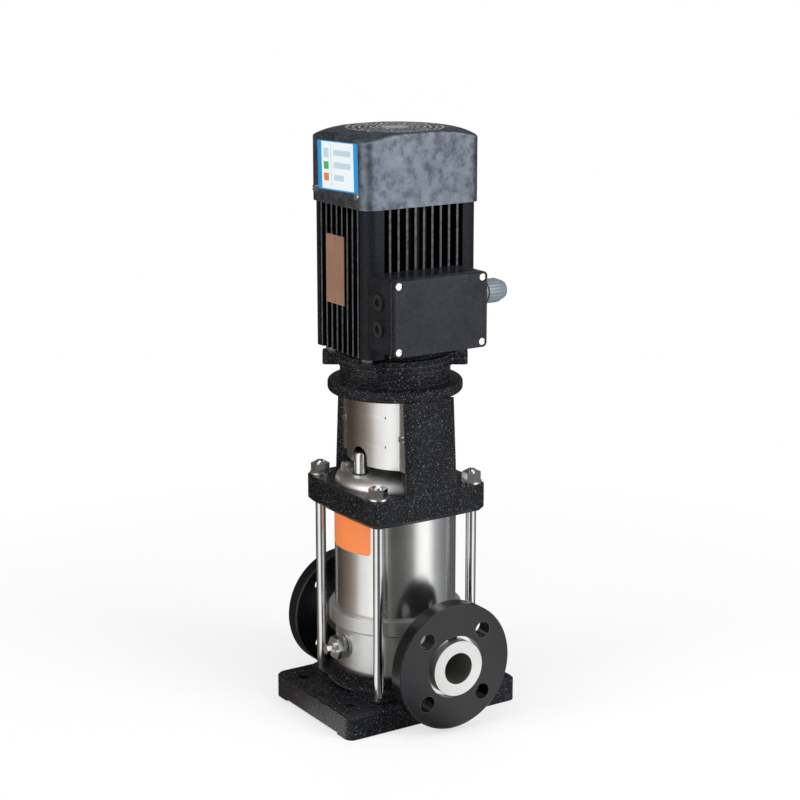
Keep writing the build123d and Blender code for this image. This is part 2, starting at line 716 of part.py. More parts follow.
# Pump head cover: spigot in the sleeve, rim under the stool, dome and seal boss
with BuildPart() as pump_head_cover:
    with BuildSketch(Plane.XZ):
        with BuildLine():
            Polyline(
                (0, plate_top + DOME_RISE), (0, outlet_top), (spigot_radius, outlet_top),
                (spigot_radius, sleeve_top), (head_rim_radius, sleeve_top),
                (head_rim_radius, head_rim_top), (dome_radius, head_rim_top),
                (dome_radius, plate_top),
            )
            EllipticalCenterArc((0, plate_top), dome_radius, DOME_RISE, start_angle=0, arc_size=QUARTER_TURN)
        make_face()
    revolve(axis=Axis.Z)
    with BuildSketch(Plane.XZ):
        with BuildLine():
            cavity = dome_radius - HEAD_WALL
            mouth = spigot_radius - 2 * HEAD_WALL
            Polyline(
                (0, dome_top - HEAD_WALL), (0, outlet_top), (mouth, outlet_top),
                (mouth, sleeve_top), (cavity, head_rim_top), (cavity, plate_top),
            )
            EllipticalCenterArc(
                (0, plate_top), cavity, DOME_RISE - HEAD_WALL, start_angle=0, arc_size=QUARTER_TURN
            )
        make_face()
    revolve(axis=Axis.Z, mode=Mode.SUBTRACT)
    with BuildSketch(Plane.XY.offset(plate_top)):
        Circle(SEAL_BOSS_RADIUS)
    extrude(amount=seal_boss_top - plate_top)
    with BuildSketch(Plane.XY.offset(head_rim_top)):
        with Locations((PRIMING_X, PRIMING_Y)):
            Circle(PRIMING_BOSS)
    extrude(amount=priming_seat - head_rim_top)
    with BuildSketch(along_y(VENT_X, VENT_FACE, vent_height, 1)):
        Circle(VENT_BOSS)
    extrude(amount=VENT_LENGTH)
    with BuildSketch(Plane.XY.offset(priming_seat)):
        with Locations((PRIMING_X, PRIMING_Y)):
            Circle(PRIMING_BOSS)
    extrude(amount=DOME_RISE, mode=Mode.SUBTRACT)
    with BuildSketch(Plane.XY.offset(head_rim_top)):
        with Locations((PRIMING_X, PRIMING_Y)):
            Circle(PRIMING_THREAD + SLIP)
    extrude(amount=priming_seat - head_rim_top, mode=Mode.SUBTRACT)
    with BuildSketch(along_y(VENT_X, VENT_FACE, vent_height, 1)):
        Circle(VENT_STEM + RUNNING)
    extrude(amount=VENT_LENGTH, mode=Mode.SUBTRACT)
    with BuildSketch(along_y(VENT_X, VENT_FACE, vent_height, 1)):
        Circle(VENT_HEAD + COVER_GAP)
    extrude(amount=VENT_HEAD_HEIGHT, mode=Mode.SUBTRACT)
    with BuildSketch(Plane.XY.offset(plate_top)):
        Circle(SEAL_BORE)
    extrude(amount=seal_boss_top - plate_top, mode=Mode.SUBTRACT)
    with BuildSketch(Plane.XZ):
        with Locations((spigot_radius - O_RING, sleeve_top - SPIGOT_HEIGHT / 2)):
            Rectangle(O_RING + COVER_GAP, O_RING + 2 * SLIP, align=(Align.MIN, Align.CENTER))
    revolve(axis=Axis.Z, mode=Mode.SUBTRACT)
finish(pump_head_cover, "pump_head_cover")

# Tie rods with their nuts and washers
with BuildPart() as tie_rods:
    rod_top = nut_seat + NUT_HEIGHT + ROD_END
    with BuildSketch(Plane.XY.offset(rod_foot - ROD_GRIP)):
        with tie_rod_spots():
            Circle(rod_radius)
    extrude(amount=rod_top - rod_foot + ROD_GRIP)
    chamfer(tie_rods.faces().group_by(Axis.Z)[-1].edges(), ROD_END / 2)
finish(tie_rods, "tie_rods")

with BuildPart() as tie_rod_washers:
    with BuildSketch(Plane.XY.offset(plate_top)):
        with tie_rod_spots():
            Circle(WASHER_DIAMETER / 2)
            Circle(rod_radius + BOLT_GAP, mode=Mode.SUBTRACT)
    extrude(amount=WASHER_THICKNESS)
finish(tie_rod_washers, "tie_rod_washers")

with BuildPart() as tie_rod_nuts:
    with BuildSketch(Plane.XY.offset(nut_seat)):
        with tie_rod_spots():
            RegularPolygon(across_flats(NUT_FLATS), 6)
            Circle(rod_radius + SLIP, mode=Mode.SUBTRACT)
    extrude(amount=NUT_HEIGHT)
finish(tie_rod_nuts, "tie_rod_nuts")

# Inlet support: a dish with a spider that carries the bottom bush
with BuildPart() as inlet_support:
    with BuildSketch(Plane.XZ):
        rim_foot = first_stage - SUPPORT_RIM / 2
        Polygon(
            (core_inner + SLIP, support_bottom), (CORE_OUTER, support_bottom),
            (CHAMBER_RADIUS, rim_foot), (CHAMBER_RADIUS, first_stage),
            (CHAMBER_RADIUS - SUPPORT_RIM, first_stage),
            (CHAMBER_RADIUS - SUPPORT_RIM, rim_foot), align=None,
        )
    revolve(axis=Axis.Z)
    with BuildSketch(Plane.XY.offset(support_bottom)):
        with PolarLocations(0, SPIDER_ARMS, start_angle=180 / SPIDER_ARMS):
            with Locations(((BUSH_RADIUS + core_inner) / 2, 0)):
                Rectangle(core_inner - BUSH_RADIUS + 2 * SUPPORT_RIM, SPIDER_ARM)
        Circle(BUSH_RADIUS)
    extrude(amount=BUSH_HEIGHT)
    with BuildSketch(Plane.XY.offset(support_bottom)):
        Circle(SHAFT_RADIUS + RUNNING)
    extrude(amount=BUSH_HEIGHT, mode=Mode.SUBTRACT)
finish(inlet_support, "inlet_support")

# Stage chambers, each with a floor, a guide plate and return vanes under the next floor
for stage in range(STAGES):
    foot_height = first_stage + stage * STAGE_PITCH
    with BuildPart() as chamber:
        with BuildSketch(Plane.XY.offset(foot_height)):
            Circle(CHAMBER_RADIUS)
            Circle(neck_ring_outer + SLIP, mode=Mode.SUBTRACT)
        extrude(amount=CHAMBER_WALL)
        with BuildSketch(Plane.XY.offset(foot_height + CHAMBER_WALL)):
            Circle(CHAMBER_RADIUS)
            Circle(CHAMBER_RADIUS - CHAMBER_WALL, mode=Mode.SUBTRACT)
        extrude(amount=STAGE_PITCH - CHAMBER_WALL)
        guide_foot = foot_height + STAGE_PITCH - GUIDE_HEIGHT
        with BuildSketch(Plane.XY.offset(guide_foot)):
            Circle(CHAMBER_RADIUS - CHAMBER_WALL - GUIDE_PASSAGE)
            Circle(SPACER_RADIUS + FREE, mode=Mode.SUBTRACT)
        extrude(amount=GUIDE_PLATE)
        with BuildSketch(Plane.XY.offset(guide_foot + GUIDE_PLATE / 2)):
            vane_length = CHAMBER_RADIUS - CHAMBER_WALL / 2 - GUIDE_INNER
            with PolarLocations(GUIDE_INNER + vane_length / 2, GUIDE_VANES):
                Rectangle(vane_length, VANE)
        extrude(amount=GUIDE_HEIGHT - GUIDE_PLATE / 2)
    finish(chamber, f"stage_chamber_{stage + 1}")

with BuildPart() as neck_rings:
    for stage in range(STAGES):
        with BuildSketch(Plane.XY.offset(first_stage + stage * STAGE_PITCH)):
            Circle(neck_ring_outer)
            Circle(neck_ring_inner, mode=Mode.SUBTRACT)
        extrude(amount=NECK_RING_HEIGHT)
finish(neck_rings, "neck_rings")

with BuildPart() as outlet_chamber:
    with BuildSketch(Plane.XY.offset(stages_top)):
        Circle(CHAMBER_RADIUS)
        Circle(GUIDE_INNER, mode=Mode.SUBTRACT)
    extrude(amount=CHAMBER_WALL)
    with BuildSketch(Plane.XY.offset(stages_top)):
        Circle(CHAMBER_RADIUS)
        Circle(CHAMBER_RADIUS - CHAMBER_WALL, mode=Mode.SUBTRACT)
    extrude(amount=OUTLET_HEIGHT)
    with BuildSketch(Plane.XY.offset(stages_top + CHAMBER_WALL)):
        with PolarLocations(CHAMBER_RADIUS, OUTLET_SLOTS):
            Rectangle(OUTLET_CUT, OUTLET_SLOT)
    extrude(amount=OUTLET_HEIGHT - 2 * CHAMBER_WALL, mode=Mode.SUBTRACT)
finish(outlet_chamber, "outlet_chamber")

# Pump shaft with a collar under the first impeller
with BuildPart() as pump_shaft:
    with BuildSketch(Plane.XY.offset(support_bottom + FREE)):
        Circle(SHAFT_RADIUS)
    extrude(amount=shaft_joint - SLIP - support_bottom - FREE)
    with BuildSketch(Plane.XY.offset(first_stage)):
        Circle(SPACER_RADIUS)
    extrude(amount=hub_foot)
finish(pump_shaft, "pump_shaft")

# Impellers: two shrouds with swept vanes between them, a hub and a neck
for stage in range(STAGES):
    foot_height = first_stage + stage * STAGE_PITCH
    with BuildPart() as impeller:
        with BuildSketch(Plane.XY.offset(foot_height + IMPELLER_LIFT)):
            Circle(IMPELLER_RADIUS)
            Circle(impeller_eye, mode=Mode.SUBTRACT)
        extrude(amount=SHROUD)
        with BuildSketch(Plane.XY.offset(foot_height + FREE)):
            Circle(NECK_RADIUS)
            Circle(impeller_eye, mode=Mode.SUBTRACT)
        extrude(amount=IMPELLER_LIFT)
        with BuildSketch(Plane.XY.offset(foot_height + upper_shroud)):
            Circle(IMPELLER_RADIUS)
        extrude(amount=SHROUD)
        with BuildSketch(Plane.XY.offset(foot_height + hub_foot)):
            Circle(HUB_RADIUS)
        extrude(amount=hub_top - hub_foot)
        with BuildSketch(Plane.XY.offset(foot_height + hub_foot)):
            for number in range(IMPELLER_VANES):
                root = 360 / IMPELLER_VANES * number
                with BuildLine():
                    start = Vector(HUB_RADIUS - SHROUD, 0).rotate(Axis.Z, root)
                    middle = Vector(VANE_BEND, 0).rotate(Axis.Z, root + VANE_SWEEP / 4)
                    end = Vector(IMPELLER_RADIUS - VANE, 0).rotate(Axis.Z, root + VANE_SWEEP)
                    ThreePointArc(start, middle, end)
                trace(line_width=VANE)
        extrude(amount=IMPELLER_WIDTH)
        with BuildSketch(Plane.XY.offset(foot_height)):
            Circle(SHAFT_RADIUS + SLIP)
        extrude(amount=STAGE_PITCH, mode=Mode.SUBTRACT)
    finish(impeller, f"impeller_{stage + 1}")

with BuildPart() as impeller_spacers:
    for stage in range(STAGES):
        with BuildSketch(Plane.XY.offset(first_stage + stage * STAGE_PITCH + hub_top)):
            Circle(SPACER_RADIUS)
            Circle(SHAFT_RADIUS + SLIP, mode=Mode.SUBTRACT)
        extrude(amount=STAGE_PITCH + hub_foot - hub_top)
finish(impeller_spacers, "impeller_spacers")

with BuildPart() as impeller_lock_nut:
    with BuildSketch(Plane.XY.offset(lock_nut_bottom)):
        RegularPolygon(across_flats(LOCK_NUT_FLATS), 6)
        Circle(SHAFT_RADIUS + SLIP, mode=Mode.SUBTRACT)
    extrude(amount=LOCK_NUT_HEIGHT)
finish(impeller_lock_nut, "impeller_lock_nut")

# Shaft seal: fixed seat, turning head on the shaft, and the gland that holds the seat
with BuildPart() as shaft_seal_seat:
    with BuildSketch(Plane.XY.offset(seat_bottom)):
        Circle(SEAL_BORE - SLIP)
        Circle(SEAT_BORE, mode=Mode.SUBTRACT)
    extrude(amount=SEAT_HEIGHT)
finish(shaft_seal_seat, "shaft_seal_seat")

with BuildPart() as shaft_seal_head:
    with BuildSketch(Plane.XY.offset(seal_head_top - SEAL_HEAD_HEIGHT)):
        Circle(SEAL_HEAD_RADIUS)
        Circle(SHAFT_RADIUS + SLIP, mode=Mode.SUBTRACT)
    extrude(amount=SEAL_HEAD_HEIGHT)
finish(shaft_seal_head, "shaft_seal_head")

with BuildPart() as shaft_seal_gland:
    with BuildSketch(Plane.XY.offset(seat_top)):
        Circle(SEAL_BORE - SLIP)
    extrude(amount=GLAND_SPIGOT)
    with BuildSketch(Plane.XY.offset(seal_boss_top)):
        Circle(GLAND_RADIUS)
    extrude(amount=GLAND_HEIGHT)
    with BuildSketch(Plane.XY.offset(seat_top)):
        Circle(SEAT_BORE)
    extrude(amount=GLAND_SPIGOT + GLAND_HEIGHT, mode=Mode.SUBTRACT)
finish(shaft_seal_gland, "shaft_seal_gland")

# Split coupling that joins the pump's shaft to the motor's
with BuildPart() as coupling_halves:
    with BuildSketch(Plane.XY.offset(coupling_bottom)):
        Circle(COUPLING_RADIUS)
        Rectangle(COUPLING_WIDTH, COUPLING_DEPTH)
        Rectangle(COUPLING_WIDTH + COUPLING_SLIT, COUPLING_SLIT, mode=Mode.SUBTRACT)
    extrude(amount=COUPLING_LENGTH)
    for height, radius in ((coupling_bottom, SHAFT_RADIUS), (shaft_joint, MOTOR_SHAFT_RADIUS)):
        with BuildSketch(Plane.XY.offset(height)):
            Circle(radius + SLIP)
        extrude(amount=COUPLING_LENGTH / 2, mode=Mode.SUBTRACT)
    with BuildSketch(along_y(0, COUPLING_DEPTH, shaft_joint, -1)):
        with GridLocations(COUPLING_SCREW_X, COUPLING_SCREW_Z, 2, 2):
            Circle(COUPLING_SCREW / 2 + SLIP)
    extrude(amount=2 * COUPLING_DEPTH, mode=Mode.SUBTRACT)
finish(coupling_halves, "coupling_halves")

with BuildPart() as coupling_screws:
    head_face = COUPLING_DEPTH / 2 + COUPLING_HEAD_HEIGHT
    with BuildSketch(along_y(0, -head_face, shaft_joint, 1)):
        with GridLocations(COUPLING_SCREW_X, COUPLING_SCREW_Z, 2, 2):
            Circle(COUPLING_HEAD / 2)
            RegularPolygon(COUPLING_SCREW / 2, 6, mode=Mode.SUBTRACT)
    extrude(amount=COUPLING_HEAD_HEIGHT)
    with BuildSketch(along_y(0, -COUPLING_DEPTH / 2 - 2 * COUPLING_SLIT, shaft_joint, 1)):
        with GridLocations(COUPLING_SCREW_X, COUPLING_SCREW_Z, 2, 2):
            Circle(COUPLING_SCREW / 2)
    extrude(amount=COUPLING_DEPTH + 2 * COUPLING_SLIT)
finish(coupling_screws, "coupling_screws")

# Coupling guards: flat strips on the legs, a bowed sheet with two beads, and an arch
for node, side in (("coupling_guard_front", -1), ("coupling_guard_rear", 1)):
    with BuildPart() as guard:
        seat = side * GUARD_SEAT
        with BuildSketch(Plane.XY.offset(guard_bottom)):
            with Locations((0, -side * guard_centre)):
                Circle(guard_radius + GUARD_SHEET)
                Circle(guard_radius, mode=Mode.SUBTRACT)
            with Locations((0, seat + side * LEG_FOOT / 2)):
                Rectangle(2 * LEG_FOOT, LEG_FOOT, mode=Mode.INTERSECT)
            with Locations((0, seat + side * GUARD_SHEET / 2)):
                with GridLocations(2 * GUARD_HALF - GUARD_STRIP, 0, 2, 1):
                    Rectangle(GUARD_STRIP, GUARD_SHEET)
        extrude(amount=guard_top - guard_bottom)
        for bead in GUARD_BEADS:
            with BuildSketch(Plane.XY.offset(plate_top + bead - BEAD_WIDTH / 2)):
                with Locations((0, -side * guard_centre)):
                    Circle(guard_radius + GUARD_SHEET + BEAD_RISE)
                    Circle(guard_radius + GUARD_SHEET / 2, mode=Mode.SUBTRACT)
                with Locations((0, seat + side * LEG_FOOT / 2)):
                    Rectangle(2 * BEAD_HALF, LEG_FOOT, mode=Mode.INTERSECT)
            extrude(amount=BEAD_WIDTH)
        arch_height = plate_top + ARCH_RISE
        arch_x = -side * ARCH_X
        with BuildSketch(along_y(arch_x, side * LEG_FOOT, arch_height, -side)):
            Circle(ARCH_RADIUS)
        extrude(amount=LEG_FOOT - GUARD_SEAT, mode=Mode.SUBTRACT)
        arch_middle = (arch_height + guard_bottom) / 2
        with BuildSketch(along_y(arch_x, side * LEG_FOOT, arch_middle, -side)):
            Rectangle(2 * ARCH_RADIUS, arch_height - guard_bottom)
        extrude(amount=LEG_FOOT - GUARD_SEAT, mode=Mode.SUBTRACT)
        with BuildSketch(along_y(0, side * LEG_FOOT, guard_screw_height, -side)):
            with GridLocations(2 * guard_screw_x, 0, 2, 1):
                Circle(SCREW_DIAMETER / 2 + BOLT_GAP)
        extrude(amount=LEG_FOOT, mode=Mode.SUBTRACT)
    finish(guard, node)

# Screws of the guards and of the fan cover, with slotted heads
with BuildPart() as cover_screws:
    for side in (-1, 1):
        guard_face = GUARD_SEAT + GUARD_SHEET
        rows = ((guard_face, guard_screw_x, guard_screw_height),
                (cowl_half_y, COWL_SCREW_X, cowl_screw_height))
        for face, x, height in rows:
            for corner in (-x, x):
                with BuildSketch(along_y(corner, side * face, height, side)):
                    Circle(SCREW_HEAD / 2)
                extrude(amount=SCREW_HEAD_HEIGHT)
                slot_foot = face + SCREW_HEAD_HEIGHT - SLOT_DEPTH
                with BuildSketch(along_y(corner, side * slot_foot, height, side)):
                    Rectangle(SCREW_HEAD, SCREW_SLOT)
                extrude(amount=SLOT_DEPTH, mode=Mode.SUBTRACT)
                with BuildSketch(along_y(corner, side * face, height, -side)):
                    Circle(SCREW_DIAMETER / 2)
                extrude(amount=SCREW_LENGTH)
finish(cover_screws, "cover_screws")

# Priming plug with a hexagon socket, and the sealing rings of both plugs
with BuildPart() as priming_plug:
    plug_foot = priming_seat + SEAL_THICKNESS
    with BuildSketch(Plane.XY.offset(plug_foot)):
        with Locations((PRIMING_X, PRIMING_Y)):
            Circle(PRIMING_RADIUS)
    extrude(amount=PRIMING_HEIGHT)
    chamfer(priming_plug.faces().sort_by(Axis.Z)[-1].edges(), FLANGE_EDGE)
    with BuildSketch(Plane.XY.offset(plug_foot - PRIMING_THREAD_LENGTH)):
        with Locations((PRIMING_X, PRIMING_Y)):
            Circle(PRIMING_THREAD)
    extrude(amount=PRIMING_THREAD_LENGTH)
    with BuildSketch(Plane.XY.offset(plug_foot + PRIMING_HEIGHT - SOCKET_DEPTH)):
        with Locations((PRIMING_X, PRIMING_Y)):
            RegularPolygon(across_flats(PRIMING_SOCKET), 6)
    extrude(amount=SOCKET_DEPTH, mode=Mode.SUBTRACT)
finish(priming_plug, "priming_plug")

with BuildPart() as plug_seals:
    with BuildSketch(Plane.XY.offset(priming_seat)):
        with Locations((PRIMING_X, PRIMING_Y)):
            Circle(PRIMING_THREAD + SLIP + SEAL_WIDTH)
            Circle(PRIMING_THREAD + SLIP, mode=Mode.SUBTRACT)
    extrude(amount=SEAL_THICKNESS)
    with BuildSketch(along_y(0, -drain_pad_face, PORT_HEIGHT, -1)):
        Circle(DRAIN_THREAD + SLIP + SEAL_WIDTH)
        Circle(DRAIN_THREAD + SLIP, mode=Mode.SUBTRACT)
    extrude(amount=SEAL_THICKNESS)
finish(plug_seals, "plug_seals")

# Vent screw in the pump head's small boss
with BuildPart() as vent_screw:
    vent_seat = VENT_FACE + VENT_HEAD_HEIGHT
    with BuildSketch(along_y(VENT_X, VENT_FACE, vent_height, 1)):
        Circle(VENT_HEAD)
    extrude(amount=VENT_HEAD_HEIGHT - COVER_GAP)
    with BuildSketch(along_y(VENT_X, vent_seat - COVER_GAP, vent_height, 1)):
        Circle(VENT_STEM)
    extrude(amount=VENT_DEPTH)
    with BuildSketch(along_y(VENT_X, VENT_FACE, vent_height, 1)):
        Rectangle(2 * VENT_HEAD, SCREW_SLOT)
    extrude(amount=SLOT_DEPTH, mode=Mode.SUBTRACT)
finish(vent_screw, "vent_screw")

# Drain plug with a bore for the drain spindle
with BuildPart() as drain_plug:
    with BuildSketch(along_y(0, -drain_flange_face, PORT_HEIGHT, -1)):
        Circle(DRAIN_FLANGE)
    extrude(amount=DRAIN_FLANGE_THICKNESS)
    with BuildSketch(along_y(0, -drain_hex_face, PORT_HEIGHT, -1)):
        RegularPolygon(across_flats(DRAIN_FLATS), 6)
    extrude(amount=DRAIN_HEX)
    with BuildSketch(along_y(0, -drain_nose_face, PORT_HEIGHT, -1)):
        Circle(DRAIN_NOSE)
    extrude(amount=DRAIN_NOSE_LENGTH)
    with BuildSketch(along_y(0, -annulus_outer, PORT_HEIGHT, -1)):
        Circle(DRAIN_THREAD)
    extrude(amount=drain_flange_face - annulus_outer)
    with BuildSketch(along_y(0, -annulus_outer, PORT_HEIGHT, -1)):
        Circle(SPINDLE_RADIUS + RUNNING)
    extrude(amount=drain_tip - annulus_outer, mode=Mode.SUBTRACT)
finish(drain_plug, "drain_plug")

with BuildPart() as drain_spindle:
    with BuildSketch(along_y(0, SPINDLE_TAIL - annulus_outer, PORT_HEIGHT, -1)):
        Circle(SPINDLE_RADIUS)
    extrude(amount=drain_tip + COVER_GAP + SPINDLE_TAIL - annulus_outer)
    with BuildSketch(along_y(0, -drain_tip - COVER_GAP, PORT_HEIGHT, -1)):
        RegularPolygon(across_flats(SPINDLE_FLATS), 6)
    extrude(amount=SPINDLE_HEAD)
finish(drain_spindle, "drain_spindle")

# Motor frame: tube, corner lobes on webs, and fins between them on all four sides
with BuildPart() as motor_frame:
    with BuildSketch(Plane.XY.offset(frame_bottom)):
        RectangleRounded(2 * FRAME_HALF_X, 2 * FRAME_HALF_Y, FRAME_CORNER)
        Rectangle(2 * lobe_x, 2 * FRAME_HALF_Y, mode=Mode.SUBTRACT)
        Rectangle(2 * FRAME_HALF_X, 2 * lobe_y, mode=Mode.SUBTRACT)
        Circle(FRAME_CORE)
        web_angle = math.degrees(math.atan2(lobe_y, lobe_x))
        web_length = 2 * (math.hypot(lobe_x, lobe_y) + WEB)
        for angle in (-web_angle, web_angle):
            Rectangle(web_length, WEB, rotation=angle)
    extrude(amount=FRAME_HEIGHT)
    reach_x = lobe_x * FRAME_HALF_Y / lobe_y
    reach_y = lobe_y * FRAME_HALF_X / lobe_x
    for side in (-1, 1):
        with BuildSketch(Plane.XY.offset(frame_bottom)):
            with GridLocations(FIN_PITCH, 0, X_FINS, 1):
                Rectangle(FIN_THICKNESS, 2 * FRAME_HALF_Y)
            y = side * FRAME_HALF_Y
            Polygon((0, 0), (-reach_x, y), (reach_x, y), align=None, mode=Mode.INTERSECT)
        extrude(amount=FRAME_HEIGHT)
        with BuildSketch(Plane.XY.offset(frame_bottom)):
            with GridLocations(0, FIN_PITCH, 1, Y_FINS):
                Rectangle(2 * FRAME_HALF_X, FIN_THICKNESS)
            x = side * FRAME_HALF_X
            Polygon((0, 0), (x, -reach_y), (x, reach_y), align=None, mode=Mode.INTERSECT)
        extrude(amount=FRAME_HEIGHT)
    with BuildSketch(along_x(FRAME_BORE)):
        with Locations((0, box_height - PORT_HEIGHT)):
            Rectangle(BOX_PAD, BOX_PAD)
    extrude(amount=box_back - FRAME_BORE)
    for side in (-1, 1):
        with BuildSketch(Plane.XY.offset(frame_top)):
            with Locations((0, side * (FRAME_HALF_Y - LUG_DEPTH / 2))):
                with GridLocations(2 * COWL_SCREW_X, 0, 2, 1):
                    Rectangle(LUG_LENGTH, LUG_DEPTH)
        extrude(amount=LUG_HEIGHT)
        with BuildSketch(along_y(0, side * FRAME_HALF_Y, cowl_screw_height, -side)):
            with GridLocations(2 * COWL_SCREW_X, 0, 2, 1):
                Circle(SCREW_DIAMETER / 2 + SLIP)
        extrude(amount=SCREW_LENGTH, mode=Mode.SUBTRACT)
        with BuildSketch(along_y(RATING_X, side * FRAME_HALF_Y, rating_height, -side)):
            Rectangle(RATING_WIDTH, RATING_HEIGHT)
        extrude(amount=RATING_THICKNESS, mode=Mode.SUBTRACT)
    with BuildSketch(Plane.XY.offset(frame_bottom)):
        Circle(FRAME_BORE)
    extrude(amount=FRAME_HEIGHT, mode=Mode.SUBTRACT)
    with BuildSketch(along_x(0)):
        with Locations((0, box_height - PORT_HEIGHT)):
            Circle(LEAD_HOLE / 2)
    extrude(amount=box_back, mode=Mode.SUBTRACT)
finish(motor_frame, "motor_frame")

# End shields, which carry the bearings
with BuildPart() as drive_end_shield:
    with BuildSketch(Plane.XZ):
        Polygon(
            (0, motor_face - REGISTER_DEPTH), (REGISTER_RADIUS, motor_face - REGISTER_DEPTH),
            (REGISTER_RADIUS, motor_face), (MOTOR_FLANGE_RADIUS, motor_face),
            (MOTOR_FLANGE_RADIUS, motor_flange_top), (SHIELD_RIM, motor_flange_top),
            (SHIELD_RIM, frame_bottom), (FRAME_BORE - SLIP, frame_bottom),
            (FRAME_BORE - SLIP, frame_bottom + SHIELD_SPIGOT),
            (0, frame_bottom + SHIELD_SPIGOT), align=None,
        )
    revolve(axis=Axis.Z)
    with BuildSketch(Plane.XY.offset(motor_face)):
        with ear_spots():
            with Locations((EAR_END - EAR_LENGTH / 2, 0)):
                RectangleRounded(EAR_LENGTH, EAR_WIDTH, EAR_CORNER)
    extrude(amount=MOTOR_FLANGE)
    with BuildSketch(Plane.XY.offset(motor_face)):
        with ear_spots():
            Circle(MOTOR_BOLT / 2 + BOLT_GAP)
    extrude(amount=MOTOR_FLANGE, mode=Mode.SUBTRACT)
    with BuildSketch(Plane.XY.offset(motor_face)):
        Circle(BEARING_RADIUS + SLIP)
    extrude(amount=FRAME_HEIGHT, mode=Mode.SUBTRACT)
    with BuildSketch(Plane.XY.offset(motor_face - REGISTER_DEPTH)):
        Circle(SHAFT_HOLE)
    extrude(amount=REGISTER_DEPTH, mode=Mode.SUBTRACT)
finish(drive_end_shield, "drive_end_shield")

with BuildPart() as fan_end_shield:
    hub_bottom = upper_bearing - BEARING_WIDTH / 2
    with BuildSketch(Plane.XZ):
        Polygon(
            (BEARING_RADIUS + SLIP, hub_bottom), (SHIELD_HUB, hub_bottom),
            (SHIELD_HUB, frame_top - SHIELD_SPIGOT), (FRAME_BORE - SLIP, frame_top - SHIELD_SPIGOT),
            (FRAME_BORE - SLIP, frame_top), (SHIELD_RIM, frame_top),
            (SHIELD_RIM, frame_top + SHIELD_SPIGOT), (SHAFT_HOLE, frame_top + SHIELD_SPIGOT),
            (SHAFT_HOLE, upper_bearing + BEARING_WIDTH / 2),
            (BEARING_RADIUS + SLIP, upper_bearing + BEARING_WIDTH / 2), align=None,
        )
    revolve(axis=Axis.Z)
finish(fan_end_shield, "fan_end_shield")

# Stator with its slots, and the winding heads above and below it
with BuildPart() as stator_core:
    with BuildSketch(Plane.XY.offset(stator_bottom)):
        Circle(FRAME_BORE - SLIP)
        Circle(STATOR_BORE, mode=Mode.SUBTRACT)
        with PolarLocations(STATOR_BORE + STATOR_TOOTH / 2, STATOR_SLOTS):
            Rectangle(STATOR_TOOTH + 2 * FREE, STATOR_SLOT, mode=Mode.SUBTRACT)
    extrude(amount=STATOR_LENGTH)
finish(stator_core, "stator_core")

with BuildPart() as stator_windings:
    for height in (stator_bottom - WINDING_HEIGHT, stator_top):
        with BuildSketch(Plane.XY.offset(height)):
            Circle(WINDING_OUTER)
            Circle(WINDING_INNER, mode=Mode.SUBTRACT)
        extrude(amount=WINDING_HEIGHT)
finish(stator_windings, "stator_windings")

# Motor shaft with its bearing seats, and the rotor's laminated core
with BuildPart() as motor_shaft:
    lower_seat = motor_face
    upper_seat = upper_bearing - BEARING_WIDTH / 2
    sections = (
        (shaft_joint + SLIP, lower_seat, MOTOR_SHAFT_RADIUS),
        (lower_seat, lower_seat + BEARING_WIDTH, BEARING_BORE - SLIP),
        (lower_seat + BEARING_WIDTH, upper_seat, ROTOR_SHAFT_RADIUS - COVER_GAP),
        (upper_seat, upper_seat + BEARING_WIDTH, BEARING_BORE - SLIP),
        (upper_seat + BEARING_WIDTH, fan_top, MOTOR_SHAFT_RADIUS),
    )
    for bottom, top, radius in sections:
        with BuildSketch(Plane.XY.offset(bottom)):
            Circle(radius)
        extrude(amount=top - bottom)
finish(motor_shaft, "motor_shaft")

with BuildPart() as rotor_core:
    with BuildSketch(Plane.XY.offset(stator_bottom)):
        Circle(STATOR_BORE - ROTOR_GAP)
        Circle(ROTOR_SHAFT_RADIUS - COVER_GAP + SLIP, mode=Mode.SUBTRACT)
    extrude(amount=STATOR_LENGTH)
finish(rotor_core, "rotor_core")

# Ball bearings of the motor
with BuildPart() as bearing_outer_rings:
    for height in (lower_bearing, upper_bearing):
        with BuildSketch(Plane.XY.offset(height - BEARING_WIDTH / 2)):
            Circle(BEARING_RADIUS)
            Circle(RACE_OUTER, mode=Mode.SUBTRACT)
        extrude(amount=BEARING_WIDTH)
finish(bearing_outer_rings, "bearing_outer_rings")

with BuildPart() as bearing_inner_rings:
    for height in (lower_bearing, upper_bearing):
        with BuildSketch(Plane.XY.offset(height - BEARING_WIDTH / 2)):
            Circle(RACE_INNER)
            Circle(BEARING_BORE, mode=Mode.SUBTRACT)
        extrude(amount=BEARING_WIDTH)
finish(bearing_inner_rings, "bearing_inner_rings")

with BuildPart() as bearing_balls:
    for height in (lower_bearing, upper_bearing):
        with Locations((0, 0, height)):
            with PolarLocations((RACE_INNER + RACE_OUTER) / 2, BALLS):
                Sphere(BALL_RADIUS)
finish(bearing_balls, "bearing_balls")

# Cooling fan on the motor shaft's upper end
with BuildPart() as cooling_fan:
    with BuildSketch(Plane.XY.offset(fan_bottom)):
        Circle(FAN_RADIUS)
    extrude(amount=FAN_PLATE)
    with BuildSketch(Plane.XY.offset(fan_bottom)):
        Circle(FAN_HUB)
        with PolarLocations((FAN_HUB + FAN_RADIUS - FAN_BLADE) / 2, FAN_BLADES):
            Rectangle(FAN_RADIUS - FAN_HUB, FAN_BLADE)
    extrude(amount=FAN_HEIGHT)
    with BuildSketch(Plane.XY.offset(fan_bottom)):
        Circle(MOTOR_SHAFT_RADIUS + SLIP)
    extrude(amount=FAN_HEIGHT, mode=Mode.SUBTRACT)
finish(cooling_fan, "cooling_fan")

